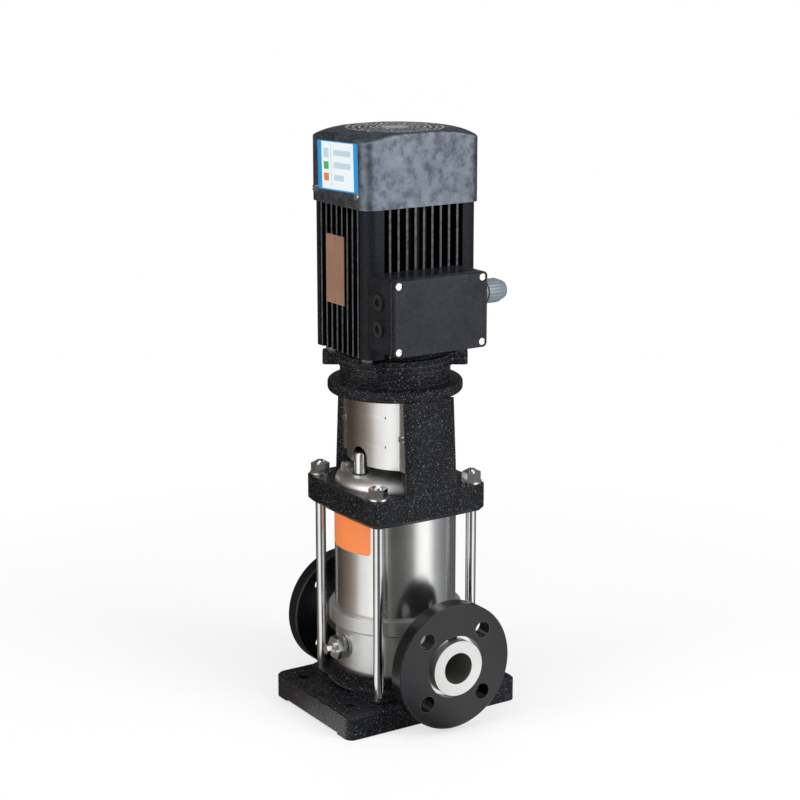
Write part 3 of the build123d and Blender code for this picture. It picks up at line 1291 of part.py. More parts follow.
# Fan cover: a deep cap whose top is flat in the middle and falls to the corners, with rings of air holes
cowl_forms = []
for inset in (0, COWL_WALL):
    with BuildPart() as form:
        with BuildSketch(Plane.XY.offset(cowl_bottom)):
            width = 2 * (cowl_half_x - inset)
            length = 2 * (cowl_half_y - inset)
            RectangleRounded(width, length, COWL_CORNER - inset)
        extrude(amount=COWL_HEIGHT)
        with BuildSketch(Plane.XZ):
            with BuildLine():
                middle = (COWL_FLAT, cowl_top - COWL_ARC)
                arc = CenterArc(middle, COWL_ARC - inset, QUARTER_TURN, -crown_angle)
                rim = arc @ 1
                Polyline(arc @ 0, (0, cowl_top - inset), (0, cowl_bottom), (rim.X, cowl_bottom), rim)
            make_face()
        revolve(axis=Axis.Z, mode=Mode.INTERSECT)
    cowl_forms.append(form.part)

with BuildPart() as fan_cover:
    add(cowl_forms[0])
    sides = fan_cover.faces().filter_by(lambda face: abs(face.normal_at().Z) < SLIP)
    fillet([side.edges().sort_by(Axis.Z)[-1] for side in sides], COWL_EDGE)
    add(cowl_forms[1], mode=Mode.SUBTRACT)
    with BuildSketch(Plane.XY.offset(cowl_top)):
        for ring in range(GRILLE_RINGS):
            radius = GRILLE_CENTRE + ring * GRILLE_PITCH
            with PolarLocations(radius, round(2 * math.pi * radius / GRILLE_PITCH)):
                Circle(GRILLE_HOLE / 2)
    extrude(amount=-2 * COWL_WALL, mode=Mode.SUBTRACT)
    with BuildSketch(along_y(0, cowl_half_y, cowl_screw_height, -1)):
        with GridLocations(2 * COWL_SCREW_X, 0, 2, 1):
            Circle(SCREW_DIAMETER / 2 + BOLT_GAP)
    extrude(amount=2 * cowl_half_y, mode=Mode.SUBTRACT)
finish(fan_cover, "fan_cover")

# Terminal box on the frame's pad, open to the front, with posts for the lid's screws
with BuildPart() as terminal_box:
    middle = (BOX_Y, box_height - PORT_HEIGHT)
    with BuildSketch(along_x(box_back)):
        with Locations(middle):
            RectangleRounded(BOX_WIDTH, BOX_HEIGHT, BOX_CORNER)
    extrude(amount=BOX_DEPTH)
    with BuildSketch(along_x(box_back + BOX_WALL)):
        with Locations(middle):
            Rectangle(BOX_WIDTH - 2 * BOX_WALL, BOX_HEIGHT - 2 * BOX_WALL)
            with GridLocations(lid_screw_y, lid_screw_z, 2, 2):
                Circle(POST_RADIUS, mode=Mode.SUBTRACT)
    extrude(amount=BOX_DEPTH, mode=Mode.SUBTRACT)
    with BuildSketch(along_x(box_front, -1)):
        with Locations((-middle[0], middle[1])):
            with GridLocations(lid_screw_y, lid_screw_z, 2, 2):
                Circle(SCREW_DIAMETER / 2 + SLIP)
    extrude(amount=SCREW_LENGTH, mode=Mode.SUBTRACT)
    with BuildSketch(along_x(box_back)):
        with Locations((0, middle[1])):
            Circle(LEAD_HOLE / 2)
    extrude(amount=BOX_WALL, mode=Mode.SUBTRACT)
    with BuildSketch(along_y(gland_x, box_high_y, gland_z, -1)):
        Circle(CABLE_GLAND_THREAD + SLIP)
    extrude(amount=BOX_WALL, mode=Mode.SUBTRACT)
    with BuildSketch(along_y(plug_x, box_low_y, box_height, 1)):
        with GridLocations(0, PLUG_SPACING, 1, 2):
            Circle(PLUG_THREAD + SLIP)
    extrude(amount=BOX_WALL, mode=Mode.SUBTRACT)
finish(terminal_box, "terminal_box")

with BuildPart() as terminal_box_gasket:
    with BuildSketch(along_x(box_front)):
        with Locations(middle):
            RectangleRounded(BOX_WIDTH, BOX_HEIGHT, BOX_CORNER)
            Rectangle(BOX_WIDTH - 2 * BOX_WALL, BOX_HEIGHT - 2 * BOX_WALL, mode=Mode.SUBTRACT)
            with GridLocations(lid_screw_y, lid_screw_z, 2, 2):
                Circle(POST_RADIUS)
                Circle(SCREW_DIAMETER / 2 + BOLT_GAP, mode=Mode.SUBTRACT)
    extrude(amount=GASKET)
finish(terminal_box_gasket, "terminal_box_gasket")

with BuildPart() as terminal_box_lid:
    with BuildSketch(along_x(lid_back)):
        with Locations(middle):
            RectangleRounded(BOX_WIDTH, BOX_HEIGHT, BOX_CORNER)
    extrude(amount=LID_THICKNESS)
    chamfer(terminal_box_lid.faces().sort_by(Axis.X)[-1].edges(), LID_EDGE)
    with BuildSketch(along_x(lid_face - LID_RECESS_DEPTH)):
        with Locations(middle):
            with GridLocations(lid_screw_y, lid_screw_z, 2, 2):
                Circle(LID_RECESS)
    extrude(amount=LID_RECESS_DEPTH, mode=Mode.SUBTRACT)
    with BuildSketch(along_x(lid_back)):
        with Locations(middle):
            with GridLocations(lid_screw_y, lid_screw_z, 2, 2):
                Circle(SCREW_DIAMETER / 2 + BOLT_GAP)
    extrude(amount=LID_THICKNESS, mode=Mode.SUBTRACT)
finish(terminal_box_lid, "terminal_box_lid")

with BuildPart() as terminal_lid_screws:
    screw_seat = lid_face - LID_RECESS_DEPTH
    with BuildSketch(along_x(screw_seat)):
        with Locations(middle):
            with GridLocations(lid_screw_y, lid_screw_z, 2, 2):
                Circle(SCREW_HEAD / 2)
    extrude(amount=SCREW_HEAD_HEIGHT)
    with BuildSketch(along_x(screw_seat + SCREW_HEAD_HEIGHT - SLOT_DEPTH)):
        with Locations(middle):
            with GridLocations(lid_screw_y, lid_screw_z, 2, 2):
                Rectangle(SCREW_HEAD, SCREW_SLOT)
    extrude(amount=SLOT_DEPTH, mode=Mode.SUBTRACT)
    with BuildSketch(along_x(screw_seat - SCREW_LENGTH)):
        with Locations(middle):
            with GridLocations(lid_screw_y, lid_screw_z, 2, 2):
                Circle(SCREW_DIAMETER / 2)
    extrude(amount=SCREW_LENGTH)
finish(terminal_lid_screws, "terminal_lid_screws")

with BuildPart() as terminal_board:
    board_back = box_back + BOX_WALL
    with BuildSketch(along_x(board_back)):
        with Locations((BOX_Y - LEAD_HOLE, middle[1])):
            Rectangle(BOARD_WIDTH, BOARD_HEIGHT)
    extrude(amount=BOARD_DEPTH)
    with BuildSketch(along_x(board_back + BOARD_DEPTH / 2)):
        with Locations((BOX_Y - LEAD_HOLE, middle[1])):
            with GridLocations(STUD_PITCH, STUD_PITCH, 2, 3):
                Circle(STUD_RADIUS)
    extrude(amount=STUD_LENGTH + BOARD_DEPTH / 2)
finish(terminal_board, "terminal_board")

# Cable gland, and the two blanking plugs opposite it
with BuildPart() as cable_gland:
    with BuildSketch(along_y(gland_x, box_high_y - BOX_WALL, gland_z, 1)):
        Circle(CABLE_GLAND_THREAD)
    extrude(amount=BOX_WALL)
    with BuildSketch(along_y(gland_x, box_high_y, gland_z, 1)):
        RegularPolygon(across_flats(CABLE_GLAND_FLATS), 6)
    extrude(amount=CABLE_GLAND_HEX)
    neck_start = box_high_y + CABLE_GLAND_HEX
    with BuildSketch(along_y(gland_x, neck_start, gland_z, 1)):
        Circle(CABLE_GLAND_NECK)
    extrude(amount=CABLE_GLAND_NECK_LENGTH)
    nut_start = neck_start + CABLE_GLAND_NECK_LENGTH
    with BuildSketch(along_y(gland_x, nut_start, gland_z, 1)):
        Circle(CABLE_GLAND_NUT)
    extrude(amount=CABLE_GLAND_NUT_LENGTH)
    cone_start = nut_start + CABLE_GLAND_NUT_LENGTH
    with BuildSketch(along_y(gland_x, cone_start, gland_z, 1)):
        Circle(CABLE_GLAND_NUT)
    with BuildSketch(along_y(gland_x, cone_start + CABLE_GLAND_CONE, gland_z, 1)):
        Circle(CABLE_GLAND_TIP)
    loft()
    with BuildSketch(along_y(gland_x, box_high_y - BOX_WALL, gland_z, 1)):
        Circle(CABLE_BORE)
    extrude(amount=BOX_WIDTH, mode=Mode.SUBTRACT)
finish(cable_gland, "cable_gland")

with BuildPart() as blanking_plugs:
    with BuildSketch(along_y(plug_x, box_low_y, box_height, -1)):
        with GridLocations(0, PLUG_SPACING, 1, 2):
            Circle(PLUG_HEAD)
            RegularPolygon(across_flats(PLUG_SOCKET), 6, mode=Mode.SUBTRACT)
    extrude(amount=PLUG_HEAD_HEIGHT)
    with BuildSketch(along_y(plug_x, box_low_y, box_height, 1)):
        with GridLocations(0, PLUG_SPACING, 1, 2):
            Circle(PLUG_THREAD)
    extrude(amount=BOX_WALL)
finish(blanking_plugs, "blanking_plugs")

# Bolts of the motor's flange
with BuildPart() as motor_bolts:
    with BuildSketch(Plane.XY.offset(motor_flange_top)):
        with ear_spots():
            RegularPolygon(across_flats(BOLT_FLATS), 6)
    extrude(amount=BOLT_HEAD)
    with BuildSketch(Plane.XY.offset(stool_flange_bottom)):
        with ear_spots():
            Circle(MOTOR_BOLT / 2)
    extrude(amount=motor_flange_top - stool_flange_bottom)
finish(motor_bolts, "motor_bolts")

# Plain rating plate let into the fins, with two rivet heads
with BuildPart() as rating_plate:
    with BuildSketch(along_y(RATING_X, RATING_THICKNESS - FRAME_HALF_Y, rating_height, -1)):
        Rectangle(RATING_WIDTH, RATING_HEIGHT)
    extrude(amount=RATING_THICKNESS)
    with BuildSketch(along_y(RATING_X, -FRAME_HALF_Y, rating_height, -1)):
        with GridLocations(0, RATING_HEIGHT - 2 * RIVET_INSET, 1, 2):
            Circle(RIVET / 2)
    extrude(amount=RIVET_HEAD)
finish(rating_plate, "rating_plate")
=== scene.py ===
"""Vertical multistage pump: finishes, added pieces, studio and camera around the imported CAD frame."""

import logging
import math
from dataclasses import dataclass
from enum import Enum
from typing import ClassVar, Iterable

import bmesh
import bpy
from mathutils import Matrix, Vector

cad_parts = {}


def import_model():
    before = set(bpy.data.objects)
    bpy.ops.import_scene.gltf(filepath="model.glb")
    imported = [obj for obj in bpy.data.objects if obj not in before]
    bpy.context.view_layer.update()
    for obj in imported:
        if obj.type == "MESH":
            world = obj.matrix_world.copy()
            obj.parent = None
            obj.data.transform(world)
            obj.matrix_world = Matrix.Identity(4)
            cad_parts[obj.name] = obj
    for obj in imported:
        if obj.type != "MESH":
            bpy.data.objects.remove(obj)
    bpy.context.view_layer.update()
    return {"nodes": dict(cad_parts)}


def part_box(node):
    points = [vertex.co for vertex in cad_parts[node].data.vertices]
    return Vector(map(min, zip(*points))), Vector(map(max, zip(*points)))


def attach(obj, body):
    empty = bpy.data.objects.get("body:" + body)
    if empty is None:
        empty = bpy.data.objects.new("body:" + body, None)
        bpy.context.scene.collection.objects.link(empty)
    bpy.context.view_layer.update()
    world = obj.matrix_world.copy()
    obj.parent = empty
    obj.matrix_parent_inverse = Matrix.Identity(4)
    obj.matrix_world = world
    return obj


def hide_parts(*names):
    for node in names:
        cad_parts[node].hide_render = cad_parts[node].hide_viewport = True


LOG = logging.getLogger("pump")

TONE_LOW, TONE_HIGH = 0.3, 0.7
DUST_COLOUR = (0.34, 0.33, 0.31)
DUST_ROUGHNESS = 0.3
FILM_LIFT = 0.00003
FILM_THICKNESS = 0.00012
MERGE_DISTANCE = 0.000002
CUT_TOLERANCE = 0.000001
SMOOTH_DEGREES = 32.0
CORNER_STEPS = 5
MILLIMETRES = 1000.0

Colour = tuple[float, float, float]
Socket = bpy.types.NodeSocket
Value = float | tuple | Socket
Shape = bmesh.types.BMesh


class Grain(Enum):
    """The relief patterns that a finish can carry."""

    PEBBLE = "sand-cast skin under paint"
    FINE = "fine even texture"
    BRUSHED_UPRIGHT = "polishing lines along Z"
    BRUSHED_LEVEL = "polishing lines around Z"
    TURNED = "tool marks round a port's axis"


class Graph:
    """Short calls for adding and joining the nodes of one shader tree."""

    def __init__(self, tree: bpy.types.NodeTree) -> None:
        """Keeps the tree that the calls work on."""
        self.tree = tree

    def node(self, kind: str, inputs: dict | None = None, **settings: object) -> bpy.types.Node:
        """Adds a node.

        Args:
            kind: Blender's name of the node type.
            inputs: socket name or index to a value or to another node's output.
            settings: attributes of the node.

        Returns:
            The new node.
        """
        made = self.tree.nodes.new(kind)
        for name, value in settings.items():
            setattr(made, name, value)
        for name, value in (inputs or {}).items():
            self.feed(made.inputs[name], value)
        return made

    def feed(self, socket: Socket, value: Value) -> None:
        """Links an output to a socket, or sets the socket's own value."""
        if isinstance(value, Socket):
            self.tree.links.new(value, socket)
        elif isinstance(value, tuple) and socket.type == "RGBA":
            socket.default_value = (*value[:3], 1.0)
        else:
            socket.default_value = value

    def math(self, operation: str, *values: Value) -> Socket:
        """Adds a Math node on one to three values and returns its output."""
        return self.node("ShaderNodeMath", dict(enumerate(values)), operation=operation).outputs[0]

    def product(self, first: Value, second: Value) -> Socket:
        """Returns one value times the other."""
        return self.math("MULTIPLY", first, second)

    def axes(self, vector: Value) -> bpy.types.NodeOutputs:
        """Splits a vector and returns its outputs X, Y and Z."""
        return self.node("ShaderNodeSeparateXYZ", {"Vector": vector}).outputs

    def distance(self, first: Value, second: Value) -> Socket:
        """Returns how far two coordinates together lie from zero."""
        return self.math("SQRT", self.math("MULTIPLY_ADD", first, first, self.product(second, second)))

    def mix(self, factor: Value, first: Value, second: Value) -> Socket:
        """Mixes two colours by a factor and returns the colour."""
        made = self.node("ShaderNodeMix", data_type="RGBA")
        for index, value in ((0, factor), (6, first), (7, second)):
            self.feed(made.inputs[index], value)
        return made.outputs[2]

    def ramp(self, value: Value, low: float, high: float, start: float = 0.0, end: float = 1.0) -> Socket:
        """Maps a value from low..high to start..end, held at both ends, and returns it."""
        sockets = {"Value": value, "From Min": low, "From Max": high, "To Min": start, "To Max": end}
        return self.node("ShaderNodeMapRange", sockets).outputs[0]

    def noise(self, vector: Value, scale: Value, detail: float = 3.0, roughness: float = 0.5) -> Socket:
        """Adds a noise texture and returns its value."""
        sockets = {"Vector": vector, "Scale": scale, "Detail": detail, "Roughness": roughness}
        return self.node("ShaderNodeTexNoise", sockets).outputs[0]

    def place(self) -> Socket:
        """Returns the surface point in object coordinates."""
        return self.node("ShaderNodeTexCoord").outputs["Object"]

    def stretched(self, vector: Value, scale: tuple[float, float, float]) -> Socket:
        """Returns the vector scaled by a Mapping node."""
        return self.node("ShaderNodeMapping", {"Vector": vector, "Scale": scale}).outputs[0]

    def between(self, value: Value, low: float, high: float, soft: float) -> Socket:
        """Returns a mask that is 1 where the value lies between low and high, with edges of width soft."""
        rising = self.ramp(value, low - soft, low + soft)
        falling = self.ramp(value, high - soft, high + soft, start=1.0, end=0.0)
        return self.product(rising, falling)

    def seen(self) -> Socket:
        """Returns the mask of rays that come from the camera, a mirror or a clear piece."""
        rays = self.node("ShaderNodeLightPath").outputs
        mirrored = self.math("MAXIMUM", rays["Is Glossy Ray"], rays["Is Transmission Ray"])
        return self.math("MAXIMUM", rays["Is Camera Ray"], mirrored)

    def surface(self, shader: bpy.types.Node) -> None:
        """Joins a shader to the material's output."""
        self.node("ShaderNodeOutputMaterial", {"Surface": shader.outputs[0]})


def empty_material(name: str) -> tuple[bpy.types.Material, Graph]:
    """Makes a material with an empty tree.

    Args:
        name: the material's name.

    Returns:
        The material and the graph of its tree.
    """
    made = bpy.data.materials.new(name)
    made.use_nodes = True
    made.node_tree.nodes.clear()
    return made, Graph(made.node_tree)


class Effects:
    """The node groups that several finishes share, each built once."""

    VECTORS = ("Vector", "Place")
    PEBBLE_RISE = 0.6
    CRUMB_SCALE, CRUMB_RISE, CRUMB_TONE = 1.9, 0.7, 0.3
    SWELL_SCALE, SWELL_RISE, SWELL_TONE = 0.12, 0.8, 0.7
    GLINT_SCALE = 1.35
    PATCH_SCALE, PATCH_TONE, GRAIN_TONE = 34.0, 0.45, 0.55
    TURNED_STRETCH, TURNED_PATCH_SCALE, TURNED_TONE = 0.6, 45.0, 0.5
    WEAR_SCALE, DUST_SCALE = 260.0, 70.0

    def __init__(self) -> None:
        """Builds the groups."""
        self.pebble = self._pebble()
        self.fine = self._fine()
        self.turned = self._turned()
        self.edge = self._edge()
        self.dust = self._dust()

    def _start(self, name: str, inputs: tuple[str, ...], outputs: tuple[str, ...]) -> tuple:
        """Makes an empty group with its sockets.

        Args:
            name: the group's name.
            inputs: names of the inputs; those in VECTORS are vectors and the others are numbers.
            outputs: names of the outputs, all numbers.

        Returns:
            The graph of the group, what comes in and what goes out, both by name.
        """
        tree = bpy.data.node_groups.new(name, "ShaderNodeTree")
        for direction, labels in (("INPUT", inputs), ("OUTPUT", outputs)):
            for label in labels:
                kind = "NodeSocketVector" if label in self.VECTORS else "NodeSocketFloat"
                tree.interface.new_socket(label, in_out=direction, socket_type=kind)
        graph = Graph(tree)
        return graph, graph.node("NodeGroupInput").outputs, graph.node("NodeGroupOutput").inputs

    def _pebble(self) -> bpy.types.NodeTree:
        """Returns the group for a cast skin under paint: pebbles, slow waves, and painted glints, bright
        specks on the pebbles' tops that stand in for the light they catch.
        """
        graph, given, out = self._start("cast_pebbles", ("Vector", "Scale"), ("Height", "Tone", "Glint"))
        vector, scale = given["Vector"], given["Scale"]
        sockets = {"Vector": vector, "Scale": scale, "Smoothness": 0.6}
        cells = graph.node("ShaderNodeTexVoronoi", sockets, feature="SMOOTH_F1")
        rounded = graph.ramp(cells.outputs["Distance"], low=0.1, high=0.75, start=1.0, end=0.0)
        crumbs = graph.noise(vector, graph.product(scale, self.CRUMB_SCALE), detail=2.0, roughness=0.6)
        swell = graph.noise(vector, graph.product(scale, self.SWELL_SCALE), detail=2.0)
        height = graph.math("MULTIPLY_ADD", crumbs, self.CRUMB_RISE, graph.product(rounded, self.PEBBLE_RISE))
        tone = graph.product(crumbs, self.CRUMB_TONE)
        graph.feed(out["Height"], graph.math("MULTIPLY_ADD", swell, self.SWELL_RISE, height))
        graph.feed(out["Tone"], graph.math("MULTIPLY_ADD", swell, self.SWELL_TONE, tone))
        # Painted glint: bright specks on the pebbles' rounded tops, standing in for light caught there.
        sparse = graph.noise(vector, graph.product(scale, self.GLINT_SCALE), detail=1.0)
        graph.feed(out["Glint"], graph.product(graph.ramp(sparse, low=0.58, high=0.72), rounded))
        return graph.tree

    def _fine(self) -> bpy.types.NodeTree:
        """Returns the group for a fine texture; a stretched vector turns it into brushing."""
        graph, given, out = self._start("fine_grain", ("Vector", "Place", "Scale"), ("Height", "Tone"))
        sharp = graph.noise(given["Vector"], given["Scale"], detail=4.0, roughness=0.62)
        patch = graph.noise(given["Place"], self.PATCH_SCALE)
        grain = graph.product(sharp, self.GRAIN_TONE)
        graph.feed(out["Height"], sharp)
        graph.feed(out["Tone"], graph.math("MULTIPLY_ADD", patch, self.PATCH_TONE, grain))
        return graph.tree

    def _turned(self) -> bpy.types.NodeTree:
        """Returns the group for tool marks that run round an axis along X at a given height."""
        inputs = ("Vector", "Centre Height", "Scale")
        graph, given, out = self._start("turned_marks", inputs, ("Height", "Tone"))
        parts = graph.axes(given["Vector"])
        level = graph.math("SUBTRACT", parts["Z"], given["Centre Height"])
        place = {"X": graph.distance(level, parts["Y"]), "Y": graph.product(parts["X"], self.TURNED_STRETCH)}
        line = graph.node("ShaderNodeCombineXYZ", place).outputs[0]
        marks = graph.noise(line, given["Scale"], roughness=0.7)
        patch = graph.noise(given["Vector"], self.TURNED_PATCH_SCALE, detail=2.0)
        tone = graph.product(marks, self.TURNED_TONE)
        graph.feed(out["Height"], marks)
        graph.feed(out["Tone"], graph.math("MULTIPLY_ADD", patch, self.TURNED_TONE, tone))
        return graph.tree

    def _edge(self) -> bpy.types.NodeTree:
        """Returns the group that marks edges for a painted highlight, standing in for the light that rounded
        edges catch; on paint it also stands for thin paint there.
        """
        graph, given, out = self._start("painted_edge_highlight", ("Vector", "Radius"), ("Mask",))
        soft = graph.node("ShaderNodeBevel", {"Radius": given["Radius"]}, samples=4)
        flat = graph.node("ShaderNodeNewGeometry")
        normals = {0: soft.outputs["Normal"], 1: flat.outputs["Normal"]}
        likeness = graph.node("ShaderNodeVectorMath", normals, operation="DOT_PRODUCT").outputs["Value"]
        line = graph.ramp(likeness, low=0.985, high=0.86)
        # The painted edge highlight is broken into patches by noise.
        broken = graph.ramp(graph.noise(given["Vector"], self.WEAR_SCALE), low=0.3, high=0.62, start=0.35)
        graph.feed(out["Mask"], graph.product(line, broken))
        return graph.tree

    def _dust(self) -> bpy.types.NodeTree:
        """Returns the group for the thin dull film that settles on faces that look up."""
        graph, given, out = self._start("settled_dust", ("Vector", "Amount"), ("Mask",))
        normal = graph.node("ShaderNodeNewGeometry").outputs["Normal"]
        upward = graph.ramp(graph.axes(normal)["Z"], low=0.35, high=1.0)
        patches = graph.ramp(graph.noise(given["Vector"], self.DUST_SCALE, detail=4.0), low=0.35, high=0.7)
        graph.feed(out["Mask"], graph.product(graph.product(upward, patches), given["Amount"]))
        return graph.tree


@dataclass(frozen=True)
class Finish:
    """One surface finish: two tones, a gloss range and a relief pattern.

    Lengths are in metres. Scale is the relief's frequency, and centre_height is the height of the ports'
    axis, round which turned marks run.
    """

    name: str
    colour: Colour
    second: Colour
    roughness: float
    metallic: float = 0.0
    grain: Grain = Grain.FINE
    scale: float = 900.0
    relief: float = 0.00004
    gloss_spread: float = 0.12
    # The speck strength sets painted glints: bright specks on the relief's tops that stand in for light
    # caught there.
    glint: float = 0.0
    # The edge strength, its colour and its radius paint a highlight along edges, standing in for light caught
    # on rounded edges; on paint it also stands for thin paint there.
    edge: float = 0.0
    highlight_colour: Colour = (0.3, 0.31, 0.33)
    edge_radius: float = 0.0012
    dust: float = 0.0
    specular: float = 0.5
    centre_height: float = 0.075

    def material(self, effects: Effects) -> bpy.types.Material:
        """Builds the material.

        Args:
            effects: the shared node groups.

        Returns:
            The finished material.
        """
        made, graph = empty_material(self.name)
        point = graph.place()
        height, tone, glints = self._relief(graph, effects, point)
        colour = graph.mix(graph.ramp(tone, TONE_LOW, TONE_HIGH), self.colour, self.second)
        spread = self.gloss_spread / 2
        rough = graph.ramp(tone, TONE_LOW, TONE_HIGH, self.roughness - spread, self.roughness + spread)
        # Painted glint: specks on the relief's tops take the pale highlight colour.
        if glints is not None and self.glint:
            colour = graph.mix(graph.product(glints, self.glint), colour, self.highlight_colour)
        # Painted highlight: edges are lightened towards the pale colour, standing in for the light that
        # rounded edges catch; on paint it also stands for thin paint there.
        if self.edge:
            given = {"Vector": point, "Radius": self.edge_radius}
            patchy_highlight = graph.node("ShaderNodeGroup", given, node_tree=effects.edge).outputs["Mask"]
            colour = graph.mix(graph.product(patchy_highlight, self.edge), colour, self.highlight_colour)
        colour, rough = self.marked(graph, point, colour, rough)
        if self.dust:
            given = {"Vector": point, "Amount": self.dust}
            film = graph.node("ShaderNodeGroup", given, node_tree=effects.dust).outputs["Mask"]
            colour = graph.mix(film, colour, DUST_COLOUR)
            rough = graph.math("MULTIPLY_ADD", film, DUST_ROUGHNESS, rough)
        bump = graph.node("ShaderNodeBump", {"Height": height, "Strength": 1.0, "Distance": self.relief})
        sockets = {
            "Base Color": colour, "Roughness": rough, "Normal": bump.outputs[0],
            "Metallic": self.metallic, "Specular IOR Level": self.specular,
        }
        graph.surface(graph.node("ShaderNodeBsdfPrincipled", sockets))
        made.diffuse_color = (*self.colour, 1.0)
        return made

    def marked(self, graph: Graph, point: Socket, colour: Value, rough: Value) -> tuple[Value, Value]:
        """Lays the marks over the finish that only this kind has; the plain finish has none.

        Args:
            graph: the material's graph.
            point: the surface point.
            colour: the colour so far.
            rough: the roughness so far.

        Returns:
            Colour and roughness with the marks in them.
        """
        return colour, rough

    def _relief(self, graph: Graph, effects: Effects, point: Socket) -> tuple:
        """Adds the relief pattern.

        Args:
            graph: the material's graph.
            effects: the shared node groups.
            point: the surface point.

        Returns:
            Height, tone, and the painted glints or None.
        """
        given = {"Vector": point, "Scale": self.scale}
        if self.grain is Grain.PEBBLE:
            out = graph.node("ShaderNodeGroup", given, node_tree=effects.pebble).outputs
            return out["Height"], out["Tone"], out["Glint"]
        if self.grain is Grain.TURNED:
            given["Centre Height"] = self.centre_height
            out = graph.node("ShaderNodeGroup", given, node_tree=effects.turned).outputs
            return out["Height"], out["Tone"], None
        stretch = {Grain.BRUSHED_UPRIGHT: (1.0, 1.0, 0.02), Grain.BRUSHED_LEVEL: (0.03, 0.03, 1.0)}
        given["Vector"] = graph.stretched(point, stretch.get(self.grain, (1.0, 1.0, 1.0)))
        given["Place"] = point
        out = graph.node("ShaderNodeGroup", given, node_tree=effects.fine).outputs
        return out["Height"], out["Tone"], None


@dataclass(frozen=True)
class CowlFinish(Finish):
    """The fan cover's paint, with bare metal on the disc of its top and a painted highlight on the walls of
    the air holes there.
    """

    disc_radius: float = 0.0147
    disc_level: float = 0.6395
    disc_soft: float = 0.0002
    disc_colour: Colour = (0.86, 0.87, 0.88)
    disc_roughness: float = 0.3
    grille_radius: float = 0.0535
    grille_level: float = 0.6375
    grille_highlight_colour: Colour = (0.62, 0.63, 0.64)
    wall_lift: float = 0.5

    def marked(self, graph: Graph, point: Socket, colour: Value, rough: Value) -> tuple[Value, Value]:
        """Lays the bare disc and a painted highlight on the walls of the air holes over the paint; see
        Finish.marked.
        """
        parts = graph.axes(point)
        radius = graph.distance(parts["X"], parts["Y"])
        inner, outer = self.disc_radius - self.disc_soft, self.disc_radius + self.disc_soft
        inside = graph.ramp(radius, inner, outer, start=1.0, end=0.0)
        disc = graph.product(inside, graph.math("GREATER_THAN", parts["Z"], self.disc_level))
        painted = graph.product(graph.math("SUBTRACT", 1.0, disc), rough)
        # Painted highlight: the walls of the air holes are lightened, standing in for the light that the
        # holes' rims catch.
        colour = graph.mix(self._hole_highlights(graph, radius, parts["Z"]), colour, self.grille_highlight_colour)
        rough = graph.math("MULTIPLY_ADD", disc, self.disc_roughness, painted)
        return graph.mix(disc, colour, self.disc_colour), rough

    def _hole_highlights(self, graph: Graph, radius: Socket, height: Socket) -> Socket:
        """Returns the mask of the walls of the air holes, where a painted highlight stands in for the light
        that the holes' rims catch.
        """
        inside = graph.math("LESS_THAN", radius, self.grille_radius)
        high = graph.math("GREATER_THAN", height, self.grille_level)
        normal = graph.node("ShaderNodeNewGeometry").outputs["True Normal"]
        wall = graph.math("LESS_THAN", graph.math("ABSOLUTE", graph.axes(normal)["Z"]), self.wall_lift)
        return graph.product(graph.product(inside, high), wall)


@dataclass(frozen=True)
class FrameFinish(Finish):
    """The motor frame's paint, with a painted highlight along the tips of the fins, and grainy on the four
    corner lobes.
    """

    tip_x: float = 0.0554
    tip_y: float = 0.0689
    tip_soft: float = 0.0005
    tip_highlight_colour: Colour = (0.105, 0.108, 0.113)
    tip_highlight_patch_scale: float = 220.0
    fins_x: float = 0.0386
    fins_y: float = 0.0440
    lobe_colour: Colour = (0.020, 0.022, 0.027)
    lobe_grain_scale: float = 800.0

    def marked(self, graph: Graph, point: Socket, colour: Value, rough: Value) -> tuple[Value, Value]:
        """Lays the painted highlight on the fin tips and the grain of the lobes over the paint; see
        Finish.marked.
        """
        parts = graph.axes(point)
        far_x = graph.math("ABSOLUTE", parts["X"])
        far_y = graph.math("ABSOLUTE", parts["Y"])
        past_x = graph.math("GREATER_THAN", far_x, self.fins_x)
        lobes = graph.product(past_x, graph.math("GREATER_THAN", far_y, self.fins_y))
        grain = graph.noise(point, self.lobe_grain_scale, roughness=0.65)
        shine = graph.product(lobes, graph.ramp(grain, low=0.35, high=0.7))
        colour = graph.mix(shine, colour, self.lobe_colour)
        # Painted highlight: the outer tips of the fins are lightened and broken up by noise, standing in for
        # the light they catch.
        out_x = graph.ramp(far_x, self.tip_x, self.tip_x + self.tip_soft)
        out_y = graph.ramp(far_y, self.tip_y, self.tip_y + self.tip_soft)
        patchy_highlight = graph.ramp(graph.noise(point, self.tip_highlight_patch_scale), low=0.3, high=0.6, start=0.35, end=0.95)
        tip_highlight = graph.product(graph.math("MAXIMUM", out_x, out_y), graph.math("SUBTRACT", 1.0, lobes))
        return graph.mix(graph.product(tip_highlight, patchy_highlight), colour, self.tip_highlight_colour), rough


@dataclass(frozen=True)
class Block:
    """A plain printed rectangle on a sticker, in the sticker's own millimetres from its middle."""

    left: float
    right: float
    bottom: float
    top: float
    colour: Colour


@dataclass(frozen=True)
class StickerFinish(Finish):
    """Printed film: a ground colour with plain blocks, read from the sticker's own UV map in millimetres."""

    blocks: tuple[Block, ...] = ()
    print_soft: float = 0.12

    def marked(self, graph: Graph, point: Socket, colour: Value, rough: Value) -> tuple[Value, Value]:
        """Lays the printed blocks over the ground colour; see Finish.marked."""
        parts = graph.axes(graph.node("ShaderNodeTexCoord").outputs["UV"])
        for block in self.blocks:
            across = graph.between(parts["X"], block.left, block.right, self.print_soft)
            up = graph.between(parts["Y"], block.bottom, block.top, self.print_soft)
            colour = graph.mix(graph.product(across, up), colour, block.colour)
        return colour, rough


